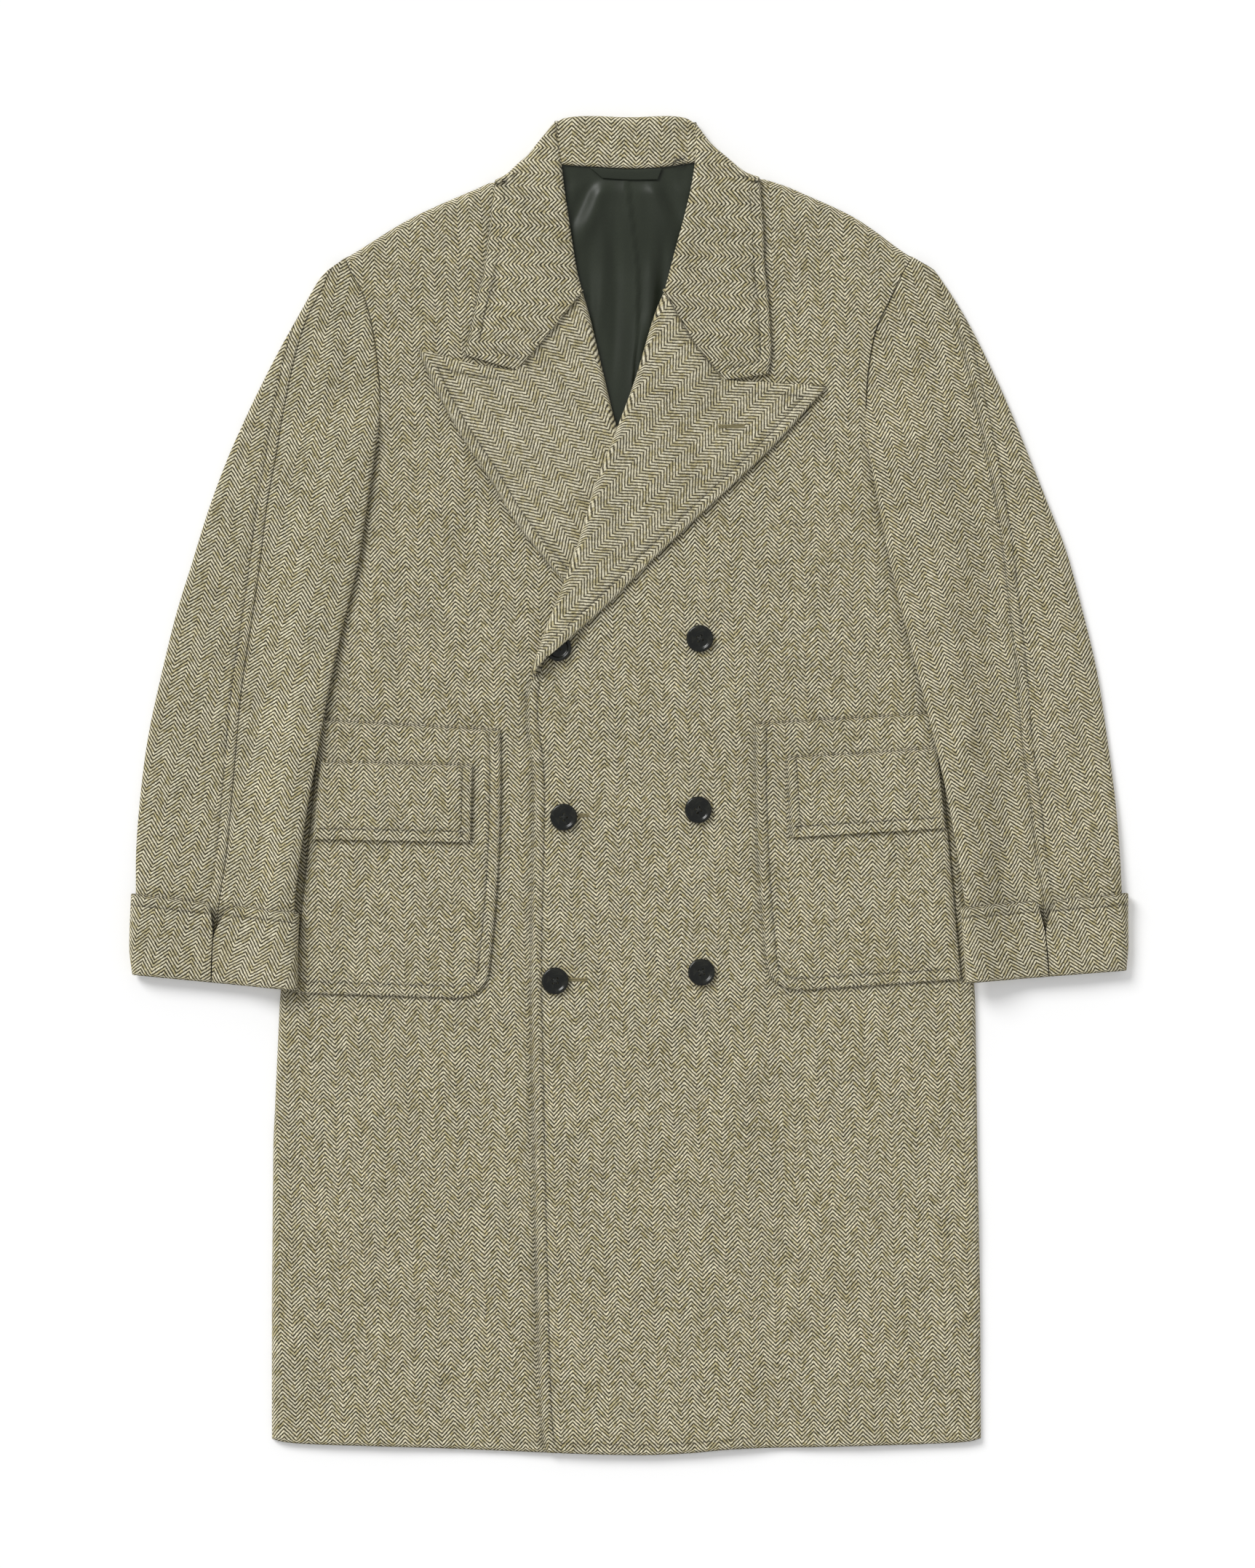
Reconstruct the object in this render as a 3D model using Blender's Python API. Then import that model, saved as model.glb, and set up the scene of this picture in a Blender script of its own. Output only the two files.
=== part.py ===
"""A double-breasted coat laid flat on its back, buttoned left over right.

Every cut piece is a wall of cloth of its own. Sizes are in millimetres and are scaled to metres as
each mesh is made. X runs to the wearer's left, Y to the neck and Z up. The origin is the middle of
the surface that the coat lies on.
"""
import math

import bmesh
import bpy
import numpy as np
from mathutils.bvhtree import BVHTree

MM = 0.001
GAP = 0.3

# Cloth walls
BACK_WALL = 2.4
FRONT_WALL = 2.8
LINING_WALL = 0.9
LAPEL_WALL = 3.0
COLLAR_WALL = 3.0
POCKET_WALL = 2.2
FLAP_WALL = 2.8
SLEEVE_WALL = 2.4
CUFF_WALL = 2.8

# Loft: how far soft cloth stands off what it lies on
FRONT_LOFT = 1.6
ROLL_LOFT = 0.8
SLEEVE_HEIGHT = 8.0
CUFF_HEIGHT = 15.4

# Rounds
SIDE_ROUND = 12.0
SLEEVE_ROUND = 8.0
CUFF_ROUND = 9.0
LAPEL_ROUND = 5.0
STAND_ROUND = 5.5
LEAF_FOLD_ROUND = 7.0

# Buttons, 40 line
BUTTON_RADIUS = 12.5
BUTTON_HEIGHT = 4.2
BUTTON_RIM = 2.4
BUTTON_DISH = 1.3
BUTTON_HOLE_RADIUS = 1.2
BUTTON_HOLE_SPREAD = 2.7

# Body sides, one row per height: y, then the right side's x and the left side's x
SIDE_ROWS = [
    # y, right, left
    (-600.0, -329.3, 324.6),
    (-470.0, -329.3, 324.0),
    (-330.0, -328.0, 321.5),
    (-200.0, -322.0, 319.5),
    (-60.0, -311.0, 311.0),
    (90.0, -298.0, 298.0),
    (220.0, -286.0, 286.0),
    (262.0, -272.0, 274.0),
    (300.0, -246.0, 236.0),
]

# Hem, one row per place across: x, y
HEM_ROWS = [(-329.3, -603.0), (-300.0, -607.0), (-180.0, -611.0), (-80.0, -615.0), (0.0, -617.3),
            (50.0, -616.0), (104.0, -611.7), (200.0, -609.5), (300.0, -606.0), (324.6, -602.5)]

# Edge of the left front, which lies on top, from the hem up to the break of the lapel
FRONT_EDGE_ROWS = [(-75.5, -616.5), (-80.0, -600.0), (-83.0, -549.0), (-88.0, -348.0), (-91.0, -170.0),
                   (-88.5, -30.0), (-89.5, 18.0), (-95.0, 66.0), (-93.0, 95.0)]
# Edge of the right front, which lies under it
UNDER_EDGE_X = 88.0

# Roll lines of the lapels from the break up to the gorge
LEFT_ROLL_ROWS = [(-90.5, 104.0), (-75.4, 147.4), (-64.0, 176.0), (-45.5, 227.0), (-29.5, 281.0),
                  (-10.5, 330.0), (6.0, 375.0), (22.0, 429.0), (31.8, 453.6)]
RIGHT_ROLL_ROWS = [(84.0, 108.0), (66.0, 165.0), (36.0, 235.0), (9.0, 290.0), (-10.5, 330.0),
                   (-22.4, 375.2), (-35.2, 428.8), (-42.5, 454.3)]
# Free edges of the lapels from the break out to the tip
LEFT_LAPEL_EDGE = [(-81.5, 112.5), (-54.6, 134.7), (-16.4, 168.8), (23.8, 209.0), (77.4, 259.3),
                   (132.3, 311.0), (181.9, 366.0)]
RIGHT_LAPEL_EDGE = [(73.5, 110.5), (20.0, 138.0), (-28.0, 163.0), (-60.0, 187.6), (-104.9, 242.5),
                    (-127.0, 279.5), (-154.0, 320.0), (-177.0, 361.8), (-194.6, 401.0)]
# Gorge and notch: from the roll line to the notch and on to the lapel's tip
LEFT_GORGE = [(31.8, 453.6), (60.0, 407.0), (88.8, 373.4)]
LEFT_LAPEL_TOP = [(88.8, 373.4), (135.0, 371.3), (181.9, 367.8)]
RIGHT_GORGE = [(-42.5, 454.3), (-72.0, 418.0), (-102.4, 382.2)]
RIGHT_LAPEL_TOP = [(-102.4, 382.2), (-150.4, 390.0), (-194.6, 402.7)]

# Collar leaf: neck edge from the gorge up, free edge from the tip up, and the fold over the shoulder
LEFT_NECK_EDGE = [(33.7, 459.6), (43.2, 496.0), (50.5, 523.0), (56.8, 549.5), (61.3, 573.0),
                  (62.8, 598.0), (59.0, 611.0)]
RIGHT_NECK_EDGE = [(-44.0, 459.6), (-48.6, 479.0), (-55.3, 522.6), (-59.3, 549.4), (-62.0, 571.5),
                   (-65.0, 596.0), (-64.5, 608.5)]
LEFT_LEAF_EDGE = [(128.6, 379.2), (131.6, 400.0), (129.6, 441.0), (125.6, 479.0), (124.3, 510.0),
                  (123.5, 538.0), (131.0, 553.6)]
RIGHT_LEAF_EDGE = [(-151.6, 396.8), (-142.4, 441.0), (-133.7, 479.0), (-129.6, 510.0), (-126.5, 535.0),
                   (-121.5, 556.0)]
LEFT_LEAF_FOLD = [(59.0, 611.0), (68.7, 603.0), (76.0, 593.0), (86.1, 582.9), (96.8, 572.9),
                  (114.2, 562.8), (131.0, 553.6)]
RIGHT_LEAF_FOLD = [(-64.5, 608.5), (-70.7, 604.0), (-80.1, 594.5), (-91.5, 580.6), (-108.9, 564.0),
                   (-121.5, 556.0)]
LEAF_BACK_TOP = 610.6
LEAF_BACK_EDGE = [(-121.5, 556.0), (-60.0, 546.0), (0.0, 543.0), (60.0, 545.0), (131.0, 553.6)]

# Collar stand as it shows inside the back of the neck
STAND_LOWER_EDGE = [(-60.8, 571.7), (-30.0, 569.6), (1.0, 568.2), (30.0, 569.4), (60.0, 573.8)]
STAND_TOP_EDGE = [(-56.0, 616.4), (-30.0, 617.2), (0.0, 616.2), (30.0, 617.2), (51.5, 616.4)]

# Shoulder seams from the neck point, under the collar, to the shoulder tip
RIGHT_SHOULDER = [(-88.0, 559.0), (-121.0, 547.5), (-137.0, 550.5), (-202.0, 522.6), (-262.5, 489.0)]
LEFT_SHOULDER = [(92.0, 557.0), (129.0, 545.0), (146.0, 550.0), (210.0, 522.6), (261.5, 489.5)]
SHOULDER_ROUND = 6.0
BACK_NECK_EDGE = [(-84.0, 551.0), (-60.0, 575.0), (0.0, 577.0), (58.0, 575.0), (88.0, 549.0)]

# Sleeves, one row per section from the shoulder tip to inside the cuff: the outer end of the section,
# its inner end, and how far across from the outer end the visible seam runs. The first seven inner
# ends are the armhole seam.
RIGHT_SLEEVE_ROWS = [
    # outer x, outer y, inner x, inner y, seam
    (-279.0, 474.0, -263.0, 487.0, 0.30),
    (-287.5, 463.5, -255.0, 472.0, 0.18),
    (-306.0, 431.0, -243.5, 450.0, 0.17),
    (-325.0, 396.5, -235.5, 419.0, 0.21),
    (-343.5, 360.0, -230.5, 382.0, 0.26),
    (-357.0, 331.0, -228.8, 351.8, 0.29),
    (-370.0, 301.5, -232.0, 319.6, 0.33),
    (-387.0, 256.0, -239.5, 268.0, 0.365),
    (-403.0, 204.5, -249.0, 206.5, 0.41),
    (-417.5, 157.5, -263.5, 146.0, 0.455),
    (-431.5, 100.5, -276.5, 86.0, 0.485),
    (-443.5, 43.5, -286.5, 29.5, 0.52),
    (-450.5, -10.5, -295.0, -16.5, 0.543),
    (-454.0, -57.0, -302.5, -67.0, 0.55),
    (-454.4, -95.0, -307.2, -107.0, 0.53),
    (-454.2, -134.0, -307.6, -147.0, 0.50),
    (-454.0, -171.0, -308.2, -184.0, 0.48),
]
LEFT_SLEEVE_ROWS = [
    (279.0, 479.0, 262.5, 488.0, 0.30),
    (284.0, 472.0, 252.0, 472.5, 0.18),
    (304.0, 442.0, 240.0, 447.5, 0.12),
    (321.0, 411.0, 227.0, 419.0, 0.165),
    (340.0, 372.0, 220.3, 382.0, 0.212),
    (354.0, 340.0, 218.2, 350.5, 0.236),
    (367.0, 308.0, 219.5, 318.5, 0.26),
    (385.5, 261.5, 229.0, 264.0, 0.303),
    (403.0, 216.5, 241.5, 201.0, 0.357),
    (417.0, 165.5, 255.0, 146.0, 0.405),
    (431.0, 107.0, 269.5, 88.5, 0.452),
    (440.0, 50.5, 283.0, 33.5, 0.496),
    (448.0, -10.5, 295.0, -21.5, 0.509),
    (452.0, -57.0, 302.5, -67.0, 0.516),
    (454.0, -95.0, 308.5, -104.0, 0.50),
    (454.5, -131.0, 311.0, -141.0, 0.50),
    (453.5, -166.0, 313.6, -177.0, 0.50),
]
ARMHOLE_ROWS = 7
SLEEVE_HIDDEN_SEAM = 0.34

# Cuffs, one row per section from the free edge down: outer end, inner end, and where the edges of
# the outer and the inner piece lie as shares of the way across
RIGHT_CUFF_ROWS = [
    # outer x, outer y, inner x, inner y, outer piece ends, inner piece starts
    (-458.8, -99.5, -303.2, -117.0, 0.440, 0.615),
    (-459.0, -106.0, -303.2, -123.0, 0.472, 0.566),
    (-459.5, -118.0, -303.6, -134.0, 0.486, 0.530),
    (-460.0, -131.0, -304.0, -146.0, 0.494, 0.499),
    (-460.3, -152.0, -304.4, -168.0, 0.488, 0.492),
    (-457.6, -175.0, -304.6, -189.5, 0.476, 0.480),
]
LEFT_CUFF_ROWS = [
    (460.0, -99.0, 304.6, -112.0, 0.400, 0.560),
    (460.0, -105.0, 305.2, -118.0, 0.455, 0.535),
    (460.0, -116.0, 306.2, -128.0, 0.478, 0.520),
    (460.0, -129.0, 307.2, -141.0, 0.499, 0.504),
    (460.2, -148.0, 308.4, -161.0, 0.492, 0.496),
    (458.4, -171.0, 310.0, -182.5, 0.480, 0.484),
]

# Patch pockets and their flaps: corners, the round of the free lower corner, and the bow of the sides
RIGHT_POCKET = dict(top_in=(-118.0, 51.5), top_out=(-284.0, 61.0), low_in=(-131.5, -196.0),
                    low_out=(-309.0, -191.5), corner=24.0, bow=5.0)
LEFT_POCKET = dict(top_in=(116.0, 57.3), top_out=(284.0, 67.6), low_in=(128.5, -189.0),
                   low_out=(306.5, -179.3), corner=26.0, bow=4.0)
RIGHT_FLAP = dict(top_in=(-143.5, 19.4), top_out=(-284.0, 22.8), low_in=(-145.2, -52.3),
                  low_out=(-292.0, -49.4), corner=2.5, bow=0.0)
LEFT_FLAP = dict(top_in=(144.2, 26.2), top_out=(284.0, 34.9), low_in=(149.0, -47.8),
                 low_out=(292.0, -39.2), corner=2.5, bow=0.0)

# Button centres: the one beside the break lies half under the lapel
BUTTONS = [("1", 65.3, 135.3), ("2", -65.3, 126.6), ("3", 63.7, -22.4), ("4", -60.0, -29.1),
           ("5", 66.7, -172.2), ("6", -68.0, -179.9)]

# Neck tab and the lining where it shows, with its centre-back pleat
NECK_TAB_TOP = [(-35.8, 569.3), (0.0, 567.7), (30.5, 568.8)]
NECK_TAB_LOW = [(-24.5, 559.5), (0.0, 558.0), (26.5, 558.1)]
NECK_TAB_WALL = 0.8
LINING_LEFT_SIDE = [(-6.0, 312.0), (24.0, 375.0), (50.0, 455.0), (66.0, 523.0), (77.0, 575.0)]
LINING_RIGHT_SIDE = [(-14.0, 312.0), (-40.0, 375.0), (-60.0, 455.0), (-72.0, 523.0), (-77.0, 575.0)]
PLEAT_ROWS = [(-1.7, 557.4), (3.0, 520.0), (8.4, 472.0), (8.0, 424.0), (3.5, 374.0), (2.0, 312.0)]
PLEAT_HEIGHT = 1.6
PLEAT_WIDTH = 9.0

# Where the rows of a quarter round lie, as shares of its width in from the edge, and their heights
ROUND_SHARES = np.array([1.0, 0.62, 0.28, 0.07, 0.0])
ROUND_HEIGHTS = np.sqrt(1.0 - (1.0 - ROUND_SHARES) ** 2)
# Angles of the columns in the round of a fold, from its underside to its top
FOLD_ANGLES = np.radians([-90.0, -48.0, 0.0, 48.0, 90.0])

# Heights of the rows up the side of the body, from the hem to the hidden part of the armhole
SIDE_LEVELS = [-602.5, -540.0, -470.0, -400.0, -330.0, -262.0, -200.0, -130.0, -60.0, 15.0, 90.0,
               155.0, 220.0, 262.0, 296.0]
# Below this height the side is the body's own; above it the armhole begins
ARMHOLE_FOOT_Y = 262.0
# How far the back's edge lies inside the turned side of the front, and how far its hem lies up
BACK_INSET = 4.6
BACK_HEM_INSET = 4.0
# Columns across the back, and the columns where its neck begins and ends
BACK_COLUMNS = np.linspace(0.0, 1.0, 17)
BACK_NECK_FROM = BACK_COLUMNS[5]
BACK_NECK_TO = BACK_COLUMNS[11]
# Height over the back at which the turned side and shoulder of a front end
TURNED_HEIGHT = 1.2
# Columns across a front, closer where the left front comes down off the right one
FRONT_COLUMNS = [0.0, 0.12, 0.25, 0.38, 0.485, 0.535, 0.585, 0.70, 0.85, 1.0]
# Rows of a front that lie beside its straight edge, below the break
FRONT_EDGE_COUNT = 9
# Rows up a lapel, closer beside the break
LAPEL_LEVELS = [0.0, 0.04, 0.08, 0.12, 0.17, 0.24, 0.33, 0.43, 0.53, 0.63, 0.73, 0.82, 0.91, 1.0]
# The gorge starts this share of the lapel's round from the roll line
GORGE_START = 1.24
# Rows down the pockets, closer at the rounded corner, and down the flaps
POCKET_LEVELS = [0.0, 0.15, 0.3, 0.45, 0.6, 0.75, 0.9, 0.93, 0.96, 0.98, 1.0]
FLAP_LEVELS = [0.0, 0.25, 0.5, 0.75, 0.97, 1.0]
# Columns across the back lining, closer at the pleat
LINING_COLUMNS = np.array([0.0, 0.12, 0.25, 0.36, 0.44, 0.49, 0.54, 0.62, 0.75, 0.88, 1.0])
# Heights between which the pleat stands: it fades in over the shorter length below and above
PLEAT_TOP_Y = 548.0
PLEAT_TOP_FADE = 20.0
PLEAT_FOOT_Y = 372.0
PLEAT_FOOT_FADE = 30.0
# Heights of the stand's lower edge in the fold, and of the fold's top
STAND_FOOT = 0.2
STAND_TOP = 9.3

# How upper layers come down off what they ride over: flat up to the margin, then falling
OFF_LEAF = dict(margin=14.0, fall=60.0)
OFF_LINING = dict(margin=20.0, fall=40.0)
OFF_FRONT = dict(margin=14.0, fall=46.0)
OFF_LAPEL = dict(margin=50.0, fall=80.0)
OFF_BUTTON = dict(margin=19.0, fall=24.0)
# The sleeve comes down off the side of the body over this width, and climbs onto it below the armhole
SLEEVE_FALL = 48.0
SLEEVE_RISE_Y = 362.0
SLEEVE_RISE_LENGTH = 42.0
# Heights on the body between which the pocket, then the flap on it, lifts the sleeve
SLEEVE_OVER_POCKET_Y = [-107.0, -67.0, 33.0, 88.0, 146.0]
# The sleeve rises inside the cuff from this row on, over this many rows
CUFF_LIFT_ROW = 11.0
CUFF_LIFT_ROWS = 3.0
# Seam shares keep this far from the round of the sleeve's ends
SEAM_MARGIN = 0.04
# The seam is this many times wider beside the shoulder tip, over the first two rows
TIP_SEAM = 5.0

TWEED = dict(color=(0.333, 0.306, 0.205), roughness=0.9)
LINING = dict(color=(0.041, 0.048, 0.038), roughness=0.45)
BUTTON = dict(color=(0.020, 0.022, 0.018), roughness=0.22)


def clear_scene():
    for ob in list(bpy.data.objects):
        bpy.data.objects.remove(ob, do_unlink=True)


def make_material(name, color, roughness):
    mat = bpy.data.materials.new(name)
    mat.use_nodes = True
    shader = mat.node_tree.nodes["Principled BSDF"]
    shader.inputs["Base Color"].default_value = (*color, 1.0)
    shader.inputs["Roughness"].default_value = roughness
    shader.inputs["Metallic"].default_value = 0.0
    mat.diffuse_color = (*color, 1.0)
    return mat


def step(x):
    """A smooth step from 0 to 1 as x runs from 0 to 1."""
    x = np.clip(x, 0.0, 1.0)
    return x * x * (3.0 - 2.0 * x)


def curve(points, per_span=16):
    """A smooth dense line through the named points."""
    p = np.array(points, float)
    if len(p) == 2:
        t = np.linspace(0.0, 1.0, per_span + 1)[:, None]
        return p[0] * (1 - t) + p[1] * t
    ext = np.vstack([2 * p[0] - p[1], p, 2 * p[-1] - p[-2]])
    out = []
    for i in range(1, len(ext) - 2):
        a, b, c, d = ext[i - 1:i + 3]
        for t in np.linspace(0.0, 1.0, per_span, endpoint=False):
            out.append(0.5 * (2 * b + (c - a) * t + (2 * a - 5 * b + 4 * c - d) * t * t
                              + (3 * b - a - 3 * c + d) * t ** 3))
    out.append(p[-1])
    return np.array(out)


def spaced(points, shares):
    """Points on a smooth line at shares of its length; a count gives even shares."""
    line = curve(points)
    if np.isscalar(shares):
        shares = np.linspace(0.0, 1.0, int(shares))
    run = np.concatenate([[0.0], np.cumsum(np.hypot(*np.diff(line, axis=0).T))])
    run /= run[-1]
    return np.column_stack([np.interp(shares, run, line[:, k]) for k in (0, 1)])


def pushed(line, distance):
    """A line moved sideways to its left by a distance."""
    along = np.gradient(line, axis=0)
    along /= np.hypot(*along.T)[:, None]
    return line + distance * np.column_stack([-along[:, 1], along[:, 0]])


def patch(low, high, first, last, u, v):
    """A grid between four edges: first and last run from low to high, low and high across them."""
    u = np.asarray(u)[None, :, None]
    v = np.asarray(v)[:, None, None]
    ruled_u = (1 - u) * first[:, None, :] + u * last[:, None, :]
    ruled_v = (1 - v) * low[None, :, :] + v * high[None, :, :]
    corners = ((1 - u) * (1 - v) * low[0] + u * (1 - v) * low[-1]
               + (1 - u) * v * high[0] + u * v * high[-1])
    return ruled_u + ruled_v - corners


def distance_outside(polygon, x, y):
    """Signed distance to a closed outline, negative inside."""
    a = np.asarray(polygon, float)
    b = np.roll(a, -1, axis=0)
    p = np.stack([np.asarray(x, float), np.asarray(y, float)], axis=-1)[..., None, :]
    edge = b - a
    t = np.clip(((p - a) * edge).sum(-1) / np.maximum((edge * edge).sum(-1), 1e-9), 0.0, 1.0)
    near = np.hypot(*np.moveaxis(p - (a + t[..., None] * edge), -1, 0)).min(-1)
    above = (a[:, 1] > p[..., 1]) != (b[:, 1] > p[..., 1])
    slope = edge[:, 0] / np.where(edge[:, 1] == 0, 1e-9, edge[:, 1])
    crossing = p[..., 0] < a[:, 0] + (p[..., 1] - a[:, 1]) * slope
    inside = (above & crossing).sum(-1) % 2 == 1
    return np.where(inside, -near, near)


def over(polygon, x, y, margin, fall):
    """1 over an outline and its margin, falling smoothly to 0 beyond it."""
    return 1.0 - step((distance_outside(polygon, x, y) - margin) / fall)


def laid_on(name, x, y, height, reach=7.0):
    """Greatest height of a built piece's outer surface near each point, or a given height beside it."""
    height = np.array(height, float)
    flat = height.reshape(-1)
    for k, (px, py) in enumerate(zip(np.ravel(x), np.ravel(y))):
        found = []
        for dx in (-reach, 0.0, reach):
            for dy in (-reach, 0.0, reach):
                hit = TOPS[name].ray_cast((px + dx, py + dy, 200.0), (0.0, 0.0, -1.0))[0]
                if hit is not None:
                    found.append(hit.z)
        if found:
            flat[k] = max(max(found), flat[k] - 1.5)
    return flat.reshape(height.shape)


# Outer surfaces of the built pieces, by name
TOPS = {}

# Outlines of what upper layers ride over
LEAF_BACK_OUTLINE = np.vstack([curve(LEAF_BACK_EDGE, 6), curve(LEFT_LEAF_FOLD, 4)[::-1],
                               curve(RIGHT_LEAF_FOLD, 4)])
LINING_OUTLINE = np.vstack([curve(LINING_RIGHT_SIDE, 4), curve(LINING_LEFT_SIDE, 4)[::-1]])
UNDER_FRONT_OUTLINE = np.vstack([[(-340.0, -620.0), (UNDER_EDGE_X, -620.0)],
                                 curve(RIGHT_ROLL_ROWS, 4), curve(RIGHT_NECK_EDGE, 4),
                                 [(-340.0, 600.0)]])
UNDER_LAPEL_OUTLINE = np.vstack([curve(RIGHT_LAPEL_EDGE, 4), curve(RIGHT_LAPEL_TOP[::-1], 4),
                                 curve(RIGHT_GORGE[::-1], 4), curve(RIGHT_ROLL_ROWS[::-1], 4)])


def back_underside(x, y):
    """The back lies on the surface and rides over the leaf of the collar behind the neck."""
    return (COLLAR_WALL + GAP) * over(LEAF_BACK_OUTLINE, x, y, **OFF_LEAF)


def back_top(x, y):
    return back_underside(x, y) + BACK_WALL


def lining_top(x, y):
    return back_top(x, y) + GAP + LINING_WALL


def front_loft(x, y):
    """The fronts stand off the back toward the sides."""
    return FRONT_LOFT * step((np.abs(x) - 110.0) / 120.0)


def front_underside(x, y, upper):
    z = back_top(x, y) + 2.0 * GAP + (LINING_WALL + 2.0 * GAP) * over(LINING_OUTLINE, x, y, **OFF_LINING)
    z = z + front_loft(x, y)
    if upper:
        z = z + (FRONT_WALL + GAP) * over(UNDER_FRONT_OUTLINE, x, y, **OFF_FRONT)
        z = z + (LAPEL_WALL + ROLL_LOFT + 6.0 * GAP) * over(UNDER_LAPEL_OUTLINE, x, y, **OFF_LAPEL)
    return z


def front_top(x, y, upper):
    return front_underside(x, y, upper) + FRONT_WALL


def side_x(y, left):
    """The side of the body at a height, also where a sleeve hides it."""
    rows = np.array(SIDE_ROWS)
    return np.interp(y, rows[:, 0], rows[:, 2 if left else 1])


def button_lift(x, y):
    """The lapel rides over the button beside its break."""
    _, bx, by = BUTTONS[1]
    beyond = np.hypot(x - bx, y - by) - OFF_BUTTON["margin"]
    return (BUTTON_HEIGHT + GAP) * (1.0 - step(beyond / OFF_BUTTON["fall"]))


def sleeve_rest(x, y, left):
    """What the sleeve and its cuff lie on: the surface, the side of the body and the pocket there."""
    side = 1.0 if left else -1.0
    beyond = side * (x - side_x(np.minimum(y, ARMHOLE_FOOT_Y), left))
    cover = 1.0 - step(beyond / SLEEVE_FALL)
    rise = step((SLEEVE_RISE_Y - y) / SLEEVE_RISE_LENGTH)
    body = BACK_WALL + 2.0 * GAP + FRONT_LOFT + FRONT_WALL + 2.0 * GAP
    flap = POCKET_WALL + FLAP_WALL + 2 * GAP
    pocket = np.interp(y, SLEEVE_OVER_POCKET_Y,
                       [POCKET_WALL + 2 * GAP, flap, flap, POCKET_WALL + 2 * GAP, 0.0])
    return (body * rise + pocket) * cover


def sheet(name, outer, wall, mat, smooth_angle=50.0):
    """A closed wall of cloth: a grid of outer points over a plain inside, moved in by its thickness."""
    outer = np.asarray(outer, float)
    rows, cols = outer.shape[:2]
    du = np.gradient(outer, axis=1)
    dv = np.gradient(outer, axis=0)
    normal = np.cross(du, dv)
    normal /= np.maximum(np.linalg.norm(normal, axis=2, keepdims=True), 1e-9)
    inner = outer - normal * wall
    inner[..., 2] = np.maximum(inner[..., 2], 0.0)
    verts = [tuple(p * MM) for p in np.vstack([outer.reshape(-1, 3), inner.reshape(-1, 3)])]
    half = rows * cols
    faces = []
    for i in range(rows - 1):
        for j in range(cols - 1):
            a, b, c, d = i * cols + j, i * cols + j + 1, (i + 1) * cols + j + 1, (i + 1) * cols + j
            faces.append((a, b, c, d))
            faces.append((half + d, half + c, half + b, half + a))
    rim = ([(0, j) for j in range(cols)] + [(i, cols - 1) for i in range(1, rows)]
           + [(rows - 1, j) for j in range(cols - 2, -1, -1)] + [(i, 0) for i in range(rows - 2, 0, -1)])
    for (i, j), (k, l) in zip(rim, rim[1:] + rim[:1]):
        a, b = i * cols + j, k * cols + l
        faces.append((b, a, half + a, half + b))
    mesh = bpy.data.meshes.new(name)
    mesh.from_pydata(verts, [], faces)
    bm = bmesh.new()
    bm.from_mesh(mesh)
    bmesh.ops.recalc_face_normals(bm, faces=bm.faces)
    bmesh.ops.triangulate(bm, faces=bm.faces)
    bm.to_mesh(mesh)
    bm.free()
    triangles = [tuple(p.vertices) for p in mesh.polygons if max(p.vertices) < half]
    TOPS[name] = BVHTree.FromPolygons([tuple(p) for p in outer.reshape(-1, 3)], triangles)
    ob = bpy.data.objects.new(name, mesh)
    bpy.context.collection.objects.link(ob)
    mesh.materials.append(mat)
    mesh.shade_smooth()
    mesh.set_sharp_from_angle(angle=math.radians(smooth_angle))
    return ob


def with_height(plan, height):
    return np.dstack([plan[..., 0], plan[..., 1], height])


def hem_y(x):
    rows = curve(HEM_ROWS)
    return np.interp(x, rows[:, 0], rows[:, 1])


def body_outline(left, inset):
    """The outer edge of a front or back: up the side, then up the armhole seam to below the tip."""
    side = 1.0 if left else -1.0
    rows = LEFT_SLEEVE_ROWS if left else RIGHT_SLEEVE_ROWS
    flank = [(side_x(y, left) - side * inset * (2.0 if y >= ARMHOLE_FOOT_Y else 1.0), y)
             for y in SIDE_LEVELS]
    seam = np.array([(r[2] - side * 0.6, r[3]) for r in rows[:ARMHOLE_ROWS]])[::-1]
    seam[-1] = seam[-2] + 0.62 * (seam[-1] - seam[-2])
    return np.vstack([flank, seam])


def build_back(mat):
    right = body_outline(False, BACK_INSET)
    left = body_outline(True, BACK_INSET)
    right_seam = np.array(RIGHT_SHOULDER) - (0.0, SHOULDER_ROUND)
    left_seam = np.array(LEFT_SHOULDER) - (0.0, SHOULDER_ROUND)
    right_seam[0], left_seam[0] = BACK_NECK_EDGE[0], BACK_NECK_EDGE[-1]
    right_seam[-1], left_seam[-1] = right[-1], left[-1]
    top = []
    for t in BACK_COLUMNS:
        if t < BACK_NECK_FROM:
            top.append(spaced(right_seam, [1.0 - t / BACK_NECK_FROM])[0])
        elif t > BACK_NECK_TO:
            top.append(spaced(left_seam, [(t - BACK_NECK_TO) / (1.0 - BACK_NECK_TO)])[0])
        else:
            share = (t - BACK_NECK_FROM) / (BACK_NECK_TO - BACK_NECK_FROM)
            top.append(spaced(BACK_NECK_EDGE, [share])[0])
    x = np.linspace(right[0, 0], left[0, 0], len(BACK_COLUMNS))
    low = np.column_stack([x, hem_y(x) + BACK_HEM_INSET])
    right[0], left[0] = low[0], low[-1]
    rise = (right[:, 1] - right[0, 1]) / (right[-1, 1] - right[0, 1])
    plan = patch(low, np.array(top), right, left, BACK_COLUMNS, rise)
    return sheet("back", with_height(plan, back_top(plan[..., 0], plan[..., 1])), BACK_WALL, mat)


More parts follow.
